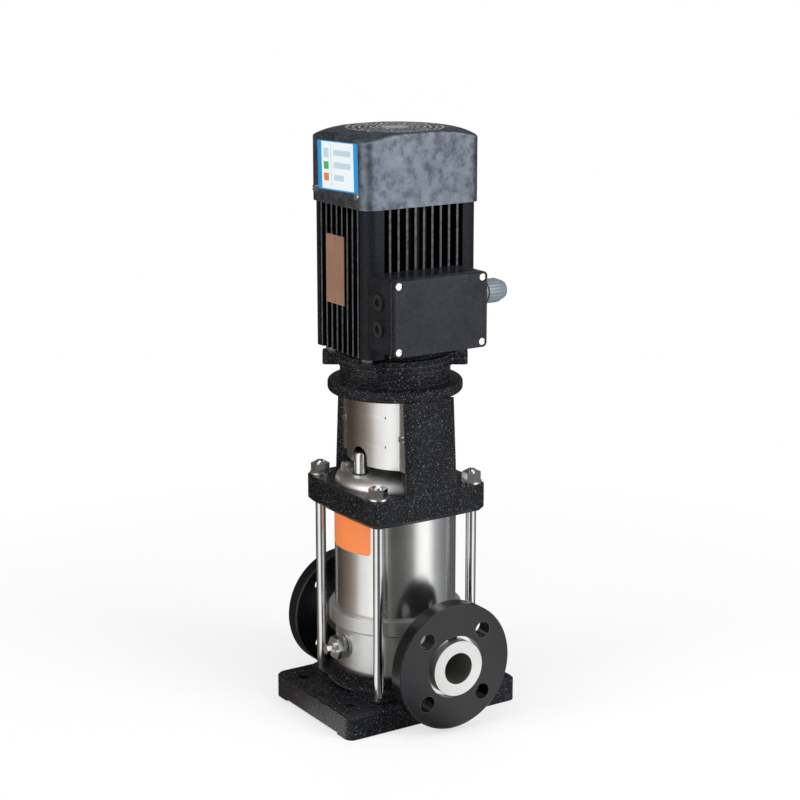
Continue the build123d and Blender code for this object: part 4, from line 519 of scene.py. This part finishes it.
CAST_BLACK = Finish(
    "cast_black", (0.0014, 0.0016, 0.0024), (0.0050, 0.0058, 0.0085), 0.24, grain=Grain.PEBBLE,
    scale=430.0, relief=0.0012, gloss_spread=0.2, glint=0.8, edge=0.3, highlight_colour=(0.22, 0.232, 0.255),
    dust=0.015, specular=0.22,
)
FRAME_BLACK = FrameFinish(
    "frame_black", (0.0010, 0.0011, 0.0014), (0.0026, 0.0028, 0.0035), 0.40, scale=700.0,
    relief=0.00012, edge=0.12, highlight_colour=(0.10, 0.105, 0.115), edge_radius=0.0008, specular=0.1,
)
COWL_GRAPHITE = CowlFinish(
    "cowl_graphite", (0.070, 0.082, 0.100), (0.170, 0.195, 0.232), 0.30, metallic=0.9,
    grain=Grain.PEBBLE, scale=950.0, relief=0.00030, gloss_spread=0.18, glint=0.35, edge=0.35,
    highlight_colour=(0.4, 0.42, 0.45),
)
BOX_BLACK = Finish(
    "box_black", (0.0022, 0.0027, 0.0038), (0.0150, 0.0172, 0.0225), 0.3, scale=210.0, relief=0.00022,
    gloss_spread=0.24, edge=0.45, highlight_colour=(0.2, 0.21, 0.23), edge_radius=0.0009, specular=0.26,
)
FLANGE_BLACK = Finish(
    "flange_black", (0.0034, 0.0036, 0.0045), (0.0078, 0.0083, 0.0102), 0.22, grain=Grain.TURNED,
    scale=900.0, relief=0.00003, gloss_spread=0.1, edge=0.4, highlight_colour=(0.26, 0.27, 0.28),
    edge_radius=0.0012, specular=0.34,
)
SATIN_STEEL = Finish(
    "satin_steel", (0.50, 0.50, 0.49), (0.62, 0.62, 0.61), 0.40, metallic=1.0, scale=1300.0,
    relief=0.00007, gloss_spread=0.16, edge=0.3, highlight_colour=(0.8, 0.8, 0.8),
)
SLEEVE_STEEL = Finish(
    "sleeve_steel", (0.60, 0.595, 0.58), (0.68, 0.68, 0.67), 0.20, metallic=1.0,
    grain=Grain.BRUSHED_LEVEL, scale=2600.0, relief=0.000012, gloss_spread=0.10,
)
GUARD_STEEL = Finish(
    "guard_steel", (0.60, 0.595, 0.585), (0.70, 0.70, 0.69), 0.23, metallic=1.0,
    grain=Grain.BRUSHED_UPRIGHT, scale=2200.0, relief=0.000015, gloss_spread=0.12, edge=0.4,
    highlight_colour=(0.85, 0.85, 0.85), edge_radius=0.0006,
)
BRIGHT_STEEL = Finish(
    "bright_steel", (0.66, 0.66, 0.65), (0.80, 0.80, 0.79), 0.2, metallic=1.0, scale=1500.0,
    relief=0.00002, gloss_spread=0.14, edge=0.3, highlight_colour=(0.85, 0.85, 0.85), edge_radius=0.0006,
)
ROD_STEEL = Finish(
    "rod_steel", (0.58, 0.585, 0.59), (0.72, 0.725, 0.73), 0.14, metallic=1.0,
    grain=Grain.BRUSHED_LEVEL, scale=1800.0, relief=0.00001, gloss_spread=0.1,
)
RING_STEEL = Finish(
    "ring_steel", (0.62, 0.63, 0.62), (0.86, 0.87, 0.85), 0.3, metallic=1.0, grain=Grain.TURNED,
    scale=700.0, relief=0.00016, gloss_spread=0.16, edge=0.5, highlight_colour=(0.85, 0.85, 0.84),
)
RUBBER = Finish(
    "seal_rubber", (0.010, 0.010, 0.010), (0.022, 0.022, 0.021), 0.6, scale=800.0, relief=0.00006,
)
DARK_PLASTIC = Finish(
    "moulded_black", (0.008, 0.008, 0.009), (0.018, 0.018, 0.019), 0.38, scale=600.0, relief=0.00006,
)
RING_PLASTIC = Finish(
    "moulded_amber", (0.30, 0.21, 0.10), (0.38, 0.27, 0.14), 0.45, scale=700.0, relief=0.00005,
)
CERAMIC = Finish(
    "seal_ceramic", (0.10, 0.10, 0.105), (0.15, 0.15, 0.155), 0.16, scale=1600.0, relief=0.00001,
)
CAST_ALUMINIUM = Finish(
    "cast_aluminium", (0.42, 0.43, 0.44), (0.55, 0.56, 0.57), 0.46, metallic=1.0, grain=Grain.PEBBLE,
    scale=800.0, relief=0.0002, glint=0.2, highlight_colour=(0.7, 0.7, 0.72),
)
COPPER = Finish(
    "wound_copper", (0.50, 0.20, 0.08), (0.70, 0.32, 0.15), 0.34, metallic=1.0,
    grain=Grain.BRUSHED_LEVEL, scale=700.0, relief=0.0004,
)
LAMINATION = Finish(
    "stacked_sheet", (0.20, 0.20, 0.21), (0.34, 0.34, 0.35), 0.42, metallic=1.0,
    grain=Grain.BRUSHED_LEVEL, scale=1700.0, relief=0.00012,
)
FAN_PLASTIC = Finish(
    "fan_plastic", (0.014, 0.015, 0.017), (0.03, 0.031, 0.034), 0.5, scale=700.0, relief=0.00008,
)
BOARD_PLASTIC = Finish(
    "board_plastic", (0.17, 0.055, 0.03), (0.24, 0.085, 0.045), 0.42, scale=900.0, relief=0.00006,
)
GLAND_PLASTIC = Finish(
    "gland_plastic", (0.13, 0.16, 0.185), (0.19, 0.225, 0.255), 0.32, scale=800.0, relief=0.00005,
    edge=0.5, highlight_colour=(0.42, 0.47, 0.52), edge_radius=0.0006,
)
PLATE_METAL = Finish(
    "plate_metal", (0.27, 0.145, 0.095), (0.36, 0.205, 0.14), 0.42, metallic=0.25,
    grain=Grain.BRUSHED_UPRIGHT, scale=1500.0, relief=0.00004, gloss_spread=0.16, edge=0.4,
    highlight_colour=(0.5, 0.34, 0.25), edge_radius=0.0006,
)
SLEEVE_FILM = StickerFinish(
    "sleeve_film", (0.93, 0.235, 0.055), (0.97, 0.27, 0.075), 0.34, scale=260.0, relief=0.00004,
    gloss_spread=0.08, blocks=(Block(-38.2, 38.2, -22.9, -22.5, (0.78, 0.17, 0.03)),),
)
BLUE = (0.022, 0.28, 0.62)
PALE = (0.50, 0.66, 0.74)
COVER_FILM = StickerFinish(
    "cover_film", (0.80, 0.87, 0.90), (0.84, 0.90, 0.92), 0.3, scale=260.0, relief=0.00003, gloss_spread=0.08,
    blocks=(
        Block(-50.0, -32.0, -40.0, 40.0, BLUE),
        Block(31.5, 50.0, -40.0, 40.0, BLUE),
        Block(-50.0, 50.0, -40.0, -24.2, BLUE),
        Block(-50.0, 50.0, 24.8, 40.0, BLUE),
        Block(-13.6, -13.0, -21.5, 22.0, (0.25, 0.33, 0.38)),
        Block(-28.0, -18.0, 8.0, 18.0, PALE),
        Block(-28.0, -18.0, -4.0, 4.0, (0.08, 0.42, 0.14)),
        Block(-28.0, -18.0, -16.0, -8.0, (0.62, 0.24, 0.06)),
        Block(-8.0, 26.0, 11.0, 17.0, PALE),
        Block(-8.0, 26.0, -2.0, 4.0, PALE),
        Block(-8.0, 12.0, -15.0, -9.0, PALE),
    ),
)


Looks = tuple[tuple[Finish, tuple[str, ...]], ...]


class Wardrobe:
    """Builds each finish once and puts it on objects."""

    def __init__(self) -> None:
        """Builds the shared effects and an empty store of materials."""
        self.effects = Effects()
        self.made: dict[str, bpy.types.Material] = {}

    def get(self, finish: Finish) -> bpy.types.Material:
        """Returns the material of a finish, building it the first time."""
        if finish.name not in self.made:
            self.made[finish.name] = finish.material(self.effects)
        return self.made[finish.name]

    def dress(self, target: bpy.types.Object, finish: Finish) -> None:
        """Puts a finish in every material slot of an object."""
        material = self.get(finish)
        if not target.material_slots:
            target.data.materials.append(material)
        for slot in target.material_slots:
            slot.material = material


def finished_piece(name: str, shape: Shape, smooth_degrees: float = SMOOTH_DEGREES) -> bpy.types.Object:
    """Turns a bmesh into an object at the origin.

    Args:
        name: the object's name.
        shape: the bmesh, in metres and in place; it is freed.
        smooth_degrees: edges sharper than this stay sharp.

    Returns:
        The new object, linked to the scene.
    """
    bmesh.ops.remove_doubles(shape, verts=shape.verts, dist=MERGE_DISTANCE)
    bmesh.ops.recalc_face_normals(shape, faces=shape.faces)
    limit = math.radians(smooth_degrees)
    for face in shape.faces:
        face.smooth = True
    for edge in shape.edges:
        edge.smooth = len(edge.link_faces) == 2 and edge.calc_face_angle(0.0) < limit
    mesh = bpy.data.meshes.new(name)
    shape.to_mesh(mesh)
    shape.free()
    made = bpy.data.objects.new(name, mesh)
    bpy.context.scene.collection.objects.link(made)
    return made


def thicken(shape: Shape, height: float) -> None:
    """Extrudes every face of a flat shape upwards."""
    result = bmesh.ops.extrude_face_region(shape, geom=list(shape.faces))["geom"]
    moved = [item for item in result if isinstance(item, bmesh.types.BMVert)]
    bmesh.ops.translate(shape, verts=moved, vec=(0.0, 0.0, height))


def spun(shape: Shape, outline: Iterable[tuple[float, float]], steps: int, base: float = 0.0) -> None:
    """Spins an open outline once round Z into a shape.

    Args:
        shape: the bmesh to add to.
        outline: radius and height of each point, in metres.
        steps: how many steps a full turn has.
        base: height that the outline's own heights start from.
    """
    verts = [shape.verts.new((radius, 0.0, base + height)) for radius, height in outline]
    edges = [shape.edges.new(pair) for pair in zip(verts, verts[1:])]
    bmesh.ops.spin(
        shape, geom=[*verts, *edges], cent=(0, 0, 0), axis=(0, 0, 1), angle=math.tau, steps=steps,
        use_merge=True,
    )


def film_sheet(size: tuple[float, float], corner: float, columns: int) -> Shape:
    """Makes a printed film with round corners, cut into columns, with its millimetres as UV map.

    Args:
        size: size along X and along Y, in metres.
        corner: corner radius, in metres.
        columns: how many columns the film is cut into, so that it can bend.

    Returns:
        The film, centred over the origin, from the XY plane up.
    """
    width, depth = size
    sheet = bmesh.new()
    bmesh.ops.create_grid(sheet, x_segments=1, y_segments=1, size=0.5)
    bmesh.ops.scale(sheet, vec=(width, depth, 1.0), verts=sheet.verts)
    bmesh.ops.bevel(
        sheet, geom=list(sheet.verts), offset=corner, segments=CORNER_STEPS, profile=0.5, affect="VERTICES",
        material=-1,
    )
    for step in range(1, columns):
        cut = Vector((width * (step / columns - 0.5), 0.0, 0.0))
        everything = [*sheet.verts, *sheet.edges, *sheet.faces]
        bmesh.ops.bisect_plane(
            sheet, geom=everything, dist=CUT_TOLERANCE, plane_co=cut, plane_no=(1.0, 0.0, 0.0),
        )
    layer = sheet.loops.layers.uv.new("print")
    for face in sheet.faces:
        for loop in face.loops:
            loop[layer].uv = (loop.vert.co.x * MILLIMETRES, loop.vert.co.y * MILLIMETRES)
    thicken(sheet, FILM_THICKNESS)
    return sheet


@dataclass
class SubAssembly:
    """A group of CAD nodes and the finishes that they wear."""

    wardrobe: Wardrobe
    nodes: dict[str, bpy.types.Object]
    looks: ClassVar[Looks] = ()

    def dress(self) -> None:
        """Puts the finishes on the CAD nodes."""
        for finish, names in self.looks:
            for name in names:
                self.wardrobe.dress(self.nodes[name], finish)
        LOG.info("%s dressed", type(self).__name__)


@dataclass
class PumpEnd(SubAssembly):
    """The wet end: base, port body, sleeve, head cover, ties and stool."""

    sleeve_radius: float = 0.067
    film_size: tuple[float, float] = (0.0795, 0.0475)
    film_bottom: float = 0.1865
    film_corner: float = 0.004
    film_columns: int = 44
    looks: ClassVar[Looks] = (
        (CAST_BLACK, ("base_plate", "motor_stool")),
        (SATIN_STEEL, (
            "pump_body", "pump_head_cover", "inlet_support", "outlet_chamber", "impeller_spacers",
            "stage_chamber_1", "stage_chamber_2", "stage_chamber_3", "stage_chamber_4", "impeller_lock_nut",
            "impeller_1", "impeller_2", "impeller_3", "impeller_4", "shaft_seal_head", "shaft_seal_gland",
        )),
        (BRIGHT_STEEL, (
            "tie_rod_washers", "tie_rod_nuts", "cover_screws", "priming_plug", "vent_screw", "drain_plug",
            "drain_spindle", "coupling_screws", "pump_shaft",
        )),
        (FLANGE_BLACK, ("inlet_flange", "outlet_flange")),
        (RING_STEEL, ("flange_retaining_rings",)),
        (SLEEVE_STEEL, ("outer_sleeve",)),
        (GUARD_STEEL, ("coupling_guard_front", "coupling_guard_rear")),
        (ROD_STEEL, ("tie_rods",)),
        (CAST_ALUMINIUM, ("coupling_halves",)),
        (RUBBER, ("sleeve_o_rings", "plug_seals")),
        (RING_PLASTIC, ("neck_rings",)),
        (CERAMIC, ("shaft_seal_seat",)),
    )

    def sleeve_sticker(self) -> bpy.types.Object:
        """Builds the plain orange sticker that wraps round the front of the sleeve.

        Returns:
            The sticker.
        """
        sheet = film_sheet(self.film_size, self.film_corner, self.film_columns)
        inner = self.sleeve_radius + FILM_LIFT
        middle = self.film_bottom + self.film_size[1] / 2
        for vert in sheet.verts:
            angle, radius = vert.co.x / inner, inner + vert.co.z
            vert.co = (radius * math.sin(angle), -radius * math.cos(angle), middle + vert.co.y)
        made = finished_piece("sleeve_sticker", sheet)
        self.wardrobe.dress(made, SLEEVE_FILM)
        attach(made, "pump")
        return made


@dataclass
class TerminalBox(SubAssembly):
    """The terminal box on the +X side, with its lid and cable gland.

    The outlines of the gland's nut and seal are radius and height over the nut's lower end.
    """

    gland_x: float = 0.081
    gland_z: float = 0.472
    hex_flats: float = 0.024
    hex_depth: float = 0.006
    hex_edge: float = 0.0005
    neck_radius: float = 0.011
    neck_depth: float = 0.003
    neck_laps: tuple[float, float] = (0.0003, 0.0004)
    neck_steps: int = 48
    nut_outline: tuple[tuple[float, float], ...] = (
        (0.0066, 0.0), (0.0118, 0.0), (0.0127, 0.0004), (0.0130, 0.0014),
        (0.0130, 0.0150), (0.0127, 0.0168), (0.0118, 0.0180), (0.0101, 0.02296),
        (0.0089, 0.0252), (0.0073, 0.0260), (0.0066, 0.0260), (0.0066, 0.0),
    )
    nut_smooth_degrees: float = 40.0
    rib_count: int = 18
    rib_steps: int = 6
    rib_depth: float = 0.0007
    rib_radius: float = 0.0124
    rib_heights: tuple[float, float] = (0.0009, 0.0170)
    rib_sharpness: int = 3
    seal_outline: tuple[tuple[float, float], ...] = (
        (0.0050, 0.0), (0.00655, 0.0), (0.00655, 0.0253), (0.0055, 0.0253), (0.0050, 0.0248), (0.0050, 0.0),
    )
    seal_steps: int = 40
    looks: ClassVar[Looks] = (
        (BOX_BLACK, ("terminal_box", "terminal_box_lid")),
        (BRIGHT_STEEL, ("terminal_lid_screws",)),
        (RUBBER, ("terminal_box_gasket",)),
        (DARK_PLASTIC, ("blanking_plugs",)),
        (BOARD_PLASTIC, ("terminal_board",)),
        (GLAND_PLASTIC, ("cable_gland",)),
    )

    def _along_port(self, shape: Shape) -> Shape:
        """Turns a shape built up Z so that it stands on the box's side and points along +Y."""
        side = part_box("terminal_box")[1][1]
        place = Matrix.Translation((self.gland_x, side, self.gland_z))
        turn = Matrix.Rotation(math.radians(-90.0), 4, "X")
        bmesh.ops.transform(shape, matrix=place @ turn, verts=shape.verts)
        return shape

    def _gland_body(self, nut_base: float) -> Shape:
        """Returns the hexagon with the neck that reaches to the nut's lower end."""
        body = bmesh.new()
        bmesh.ops.create_circle(body, cap_ends=True, segments=6, radius=self.hex_flats / math.sqrt(3.0))
        thicken(body, self.hex_depth)
        bmesh.ops.bevel(
            body, geom=list(body.edges), offset=self.hex_edge, segments=3, profile=0.5, affect="EDGES",
            material=-1,
        )
        below, above = self.neck_laps
        neck = ((self.neck_radius, self.hex_depth - below), (self.neck_radius, nut_base + above))
        spun(body, neck, self.neck_steps)
        return self._along_port(body)

    def _gland_nut(self, nut_base: float) -> Shape:
        """Returns the nut with its rounded nose and the grooves between its ribs."""
        nut = bmesh.new()
        spun(nut, self.nut_outline, self.rib_count * self.rib_steps, nut_base)
        low, high = self.rib_heights
        for vert in nut.verts:
            radius = math.hypot(vert.co.x, vert.co.y)
            if radius > self.rib_radius and low < vert.co.z - nut_base < high:
                turn = math.atan2(vert.co.y, vert.co.x) * self.rib_count
                groove = self.rib_depth * (0.5 - 0.5 * math.cos(turn)) ** self.rib_sharpness
                scale = (radius - groove) / radius
                vert.co.x, vert.co.y = vert.co.x * scale, vert.co.y * scale
        return self._along_port(nut)

    def _gland_seal(self, nut_base: float) -> Shape:
        """Returns the soft seal inside the nut."""
        seal = bmesh.new()
        spun(seal, self.seal_outline, self.seal_steps, nut_base)
        return self._along_port(seal)

    def gland(self) -> list[bpy.types.Object]:
        """Builds the cable gland: hexagon body, ribbed nut with a rounded nose, and its seal.

        Returns:
            The three pieces.
        """
        nut_base = self.hex_depth + self.neck_depth
        pieces = [
            finished_piece("gland_body", self._gland_body(nut_base)),
            finished_piece("gland_nut", self._gland_nut(nut_base), self.nut_smooth_degrees),
            finished_piece("gland_seal", self._gland_seal(nut_base)),
        ]
        for piece, finish in zip(pieces, (GLAND_PLASTIC, GLAND_PLASTIC, RUBBER)):
            self.wardrobe.dress(piece, finish)
            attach(piece, "pump")
            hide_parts("cable_gland")
        return pieces


@dataclass
class Motor(SubAssembly):
    """The motor: finned frame, shields, inner parts and fan cover."""

    film_size: tuple[float, float] = (0.0800, 0.0515)
    film_middle: tuple[float, float] = (0.0030, 0.6045)
    film_corner: float = 0.0012
    film_columns: int = 8
    film_tilt_degrees: float = 2.0
    looks: ClassVar[Looks] = (
        (FRAME_BLACK, ("motor_frame",)),
        (COWL_GRAPHITE, ("fan_cover",)),
        (CAST_BLACK, ("drive_end_shield",)),
        (CAST_ALUMINIUM, ("fan_end_shield",)),
        (LAMINATION, ("stator_core", "rotor_core")),
        (COPPER, ("stator_windings",)),
        (FAN_PLASTIC, ("cooling_fan",)),
        (PLATE_METAL, ("rating_plate",)),
        (BRIGHT_STEEL, (
            "motor_shaft", "bearing_outer_rings", "bearing_inner_rings", "bearing_balls", "motor_bolts",
        )),
    )

    def cover_sticker(self) -> bpy.types.Object:
        """Builds the plain blue-edged sticker on the fan cover's -Y face, set a little crooked.

        Returns:
            The sticker.
        """
        sheet = film_sheet(self.film_size, self.film_corner, self.film_columns)
        across, height = self.film_middle
        place = (
            Matrix.Translation((across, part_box("fan_cover")[0][1] - FILM_LIFT, height))
            @ Matrix.Rotation(math.radians(-self.film_tilt_degrees), 4, "Y")
            @ Matrix.Rotation(math.radians(90.0), 4, "X")
        )
        bmesh.ops.transform(sheet, matrix=place, verts=sheet.verts)
        made = finished_piece("cover_sticker", sheet)
        self.wardrobe.dress(made, COVER_FILM)
        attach(made, "pump")
        return made


@dataclass(frozen=True)
class Lamp:
    """One square soft lamp that points at the middle of the pump.

    The turn is in degrees round the pump, 0 from -Y and 90 from +X. The lift is in degrees above the level
    of the pump's middle, and distance and size are in metres.
    """

    name: str
    turn: float
    lift: float
    distance: float
    size: float
    watts: float


@dataclass
class Studio:
    """Camera, pale floor, soft lamps and the ring of cards that polished metal shows."""

    lens: float = 89.1
    sensor: float = 36.0
    clip: tuple[float, float] = (0.05, 200.0)
    camera_place: tuple[float, float, float] = (1.7603, -1.1303, 0.8615)
    camera_turn: float = 57.15
    camera_dip: float = 13.87
    lamp_aim: float = 0.35
    world_level: float = 0.34
    floor_half: float = 30.0
    floor_drop: float = 0.0002
    floor_tones: tuple[Colour, Colour] = ((0.86, 0.86, 0.86), (0.88, 0.88, 0.88))
    floor_grain_scale: float = 60.0
    fade_start: float = 0.15
    fade_end: float = 0.9
    fade_share: float = 0.62
    ring_start: float = 0.02
    ring_floor: float = -0.0001
    ring_radius: float = 0.62
    ring_height: float = 1.9
    ring_steps: int = 96
    lamps: tuple[Lamp, ...] = (
        Lamp("front_softbox", -2.0, 24.0, 1.9, 0.9, 17.0),
        Lamp("right_softbox", 112.0, 22.0, 1.9, 1.0, 30.0),
        Lamp("top_softbox", 40.0, 74.0, 1.8, 1.2, 10.0),
        Lamp("back_fill", 235.0, 30.0, 2.2, 1.2, 8.0),
    )
    cards: tuple[tuple[float, Colour], ...] = (
        (-180.0, (0.16, 0.16, 0.16)),
        (-150.0, (0.10, 0.10, 0.10)),
        (-110.0, (0.05, 0.05, 0.05)),
        (-70.0, (0.07, 0.055, 0.045)),
        (-58.0, (0.11, 0.085, 0.065)),
        (-32.0, (0.27, 0.22, 0.18)),
        (-17.0, (0.50, 0.47, 0.43)),
        (-9.0, (1.00, 0.99, 0.97)),
        (20.0, (1.40, 1.40, 1.40)),
        (30.0, (1.20, 1.20, 1.20)),
        (44.0, (0.22, 0.22, 0.22)),
        (52.0, (0.09, 0.095, 0.09)),
        (72.0, (0.15, 0.155, 0.15)),
        (88.0, (0.32, 0.32, 0.32)),
        (98.0, (1.20, 1.20, 1.20)),
        (104.0, (1.50, 1.50, 1.50)),
        (122.0, (1.50, 1.50, 1.50)),
        (131.0, (0.62, 0.63, 0.65)),
        (148.0, (0.33, 0.34, 0.36)),
        (168.0, (0.21, 0.215, 0.225)),
        (180.0, (0.16, 0.16, 0.16)),
    )

    def camera(self) -> None:
        """Makes the camera at the photograph's place and makes it the scene's own."""
        data = bpy.data.cameras.new("camera")
        data.lens = self.lens
        data.sensor_width = self.sensor
        data.clip_start, data.clip_end = self.clip
        made = bpy.data.objects.new("camera", data)
        bpy.context.scene.collection.objects.link(made)
        made.location = self.camera_place
        made.rotation_euler = (math.radians(90.0 - self.camera_dip), 0.0, math.radians(self.camera_turn))
        bpy.context.scene.camera = made

    def lamp(self, lamp: Lamp) -> None:
        """Makes one lamp."""
        data = bpy.data.lights.new(lamp.name, "AREA")
        data.energy = lamp.watts
        data.size = lamp.size
        made = bpy.data.objects.new(lamp.name, data)
        bpy.context.scene.collection.objects.link(made)
        turn, lift = math.radians(lamp.turn), math.radians(lamp.lift)
        level = math.cos(lift)
        away = Vector((math.sin(turn) * level, -math.cos(turn) * level, math.sin(lift)))
        made.location = Vector((0.0, 0.0, self.lamp_aim)) + away * lamp.distance
        made.rotation_euler = away.to_track_quat("Z", "Y").to_euler()

    def world(self) -> None:
        """Makes the world: white where it is seen or mirrored, a plain level where it lights."""
        world = bpy.data.worlds.new("studio")
        bpy.context.scene.world = world
        world.use_nodes = True
        world.node_tree.nodes.clear()
        graph = Graph(world.node_tree)
        level = graph.ramp(graph.seen(), 0.0, 1.0, start=self.world_level, end=1.0)
        shader = graph.node("ShaderNodeBackground", {"Color": (1.0, 1.0, 1.0), "Strength": level})
        graph.node("ShaderNodeOutputWorld", {"Surface": shader.outputs[0]})

    def floor(self) -> None:
        """Makes the pale floor, whose far part fades to white."""
        shape = bmesh.new()
        bmesh.ops.create_grid(shape, x_segments=2, y_segments=2, size=self.floor_half)
        bmesh.ops.translate(shape, verts=shape.verts, vec=(0.0, 0.0, -self.floor_drop))
        made = finished_piece("floor", shape)
        material, graph = empty_material("pale_floor")
        point = graph.place()
        away = graph.node("ShaderNodeVectorMath", {0: point}, operation="LENGTH").outputs["Value"]
        grain = graph.ramp(graph.noise(point, self.floor_grain_scale), TONE_LOW, TONE_HIGH)
        matt = graph.node("ShaderNodeBsdfDiffuse", {"Color": graph.mix(grain, *self.floor_tones)})
        glow = graph.node("ShaderNodeEmission", {"Color": (1.0, 1.0, 1.0), "Strength": 1.0})
        fade = graph.ramp(away, self.fade_start, self.fade_end, start=self.fade_share, end=1.0)
        share = graph.product(graph.seen(), fade)
        sockets = {0: share, 1: matt.outputs[0], 2: glow.outputs[0]}
        graph.surface(graph.node("ShaderNodeMixShader", sockets))
        material.cycles.emission_sampling = "NONE"
        made.data.materials.append(material)

    def ring(self) -> None:
        """Makes the ring of light and dark cards round the pump, which only mirrored rays meet."""
        shape = bmesh.new()
        start, corner = (self.ring_start, self.ring_floor), (self.ring_radius, self.ring_floor)
        spun(shape, (start, corner, (self.ring_radius, self.ring_height)), self.ring_steps)
        made = finished_piece("card_ring", shape)
        material, graph = empty_material("card_ring")
        parts = graph.axes(graph.place())
        turn = graph.math("ARCTAN2", parts["X"], graph.product(parts["Y"], -1.0))
        table = graph.node("ShaderNodeValToRGB", {"Fac": graph.ramp(turn, -math.pi, math.pi)})
        stops = table.color_ramp.elements
        while len(stops) > 1:
            stops.remove(stops[-1])
        for index, (degrees, colour) in enumerate(self.cards):
            place = (degrees + 180.0) / 360.0
            stop = stops[0] if index == 0 else stops.new(place)
            stop.position = place
            stop.color = (*colour, 1.0)
        graph.surface(graph.node("ShaderNodeEmission", {"Color": table.outputs["Color"], "Strength": 1.0}))
        material.cycles.emission_sampling = "NONE"
        made.data.materials.append(material)
        made.visible_camera = made.visible_diffuse = made.visible_shadow = made.visible_transmission = False

    def build(self) -> None:
        """Builds the whole studio and sets the plain colour view."""
        self.camera()
        self.world()
        self.floor()
        self.ring()
        for lamp in self.lamps:
            self.lamp(lamp)
        bpy.context.scene.view_settings.view_transform = "Standard"
        LOG.info("studio built")


def main() -> None:
    """Loads the frame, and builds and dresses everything."""
    logging.basicConfig(level=logging.INFO, format="%(name)s: %(message)s")
    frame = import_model()
    nodes = frame["nodes"]
    wardrobe = Wardrobe()
    Studio().build()
    pump_end = PumpEnd(wardrobe, nodes)
    motor = Motor(wardrobe, nodes)
    box = TerminalBox(wardrobe, nodes)
    for part in (pump_end, motor, box):
        part.dress()
    for piece in (pump_end.sleeve_sticker(), motor.cover_sticker(), *box.gland()):
        LOG.info("%s: %d faces", piece.name, len(piece.data.polygons))


if __name__ == "__main__":
    main()
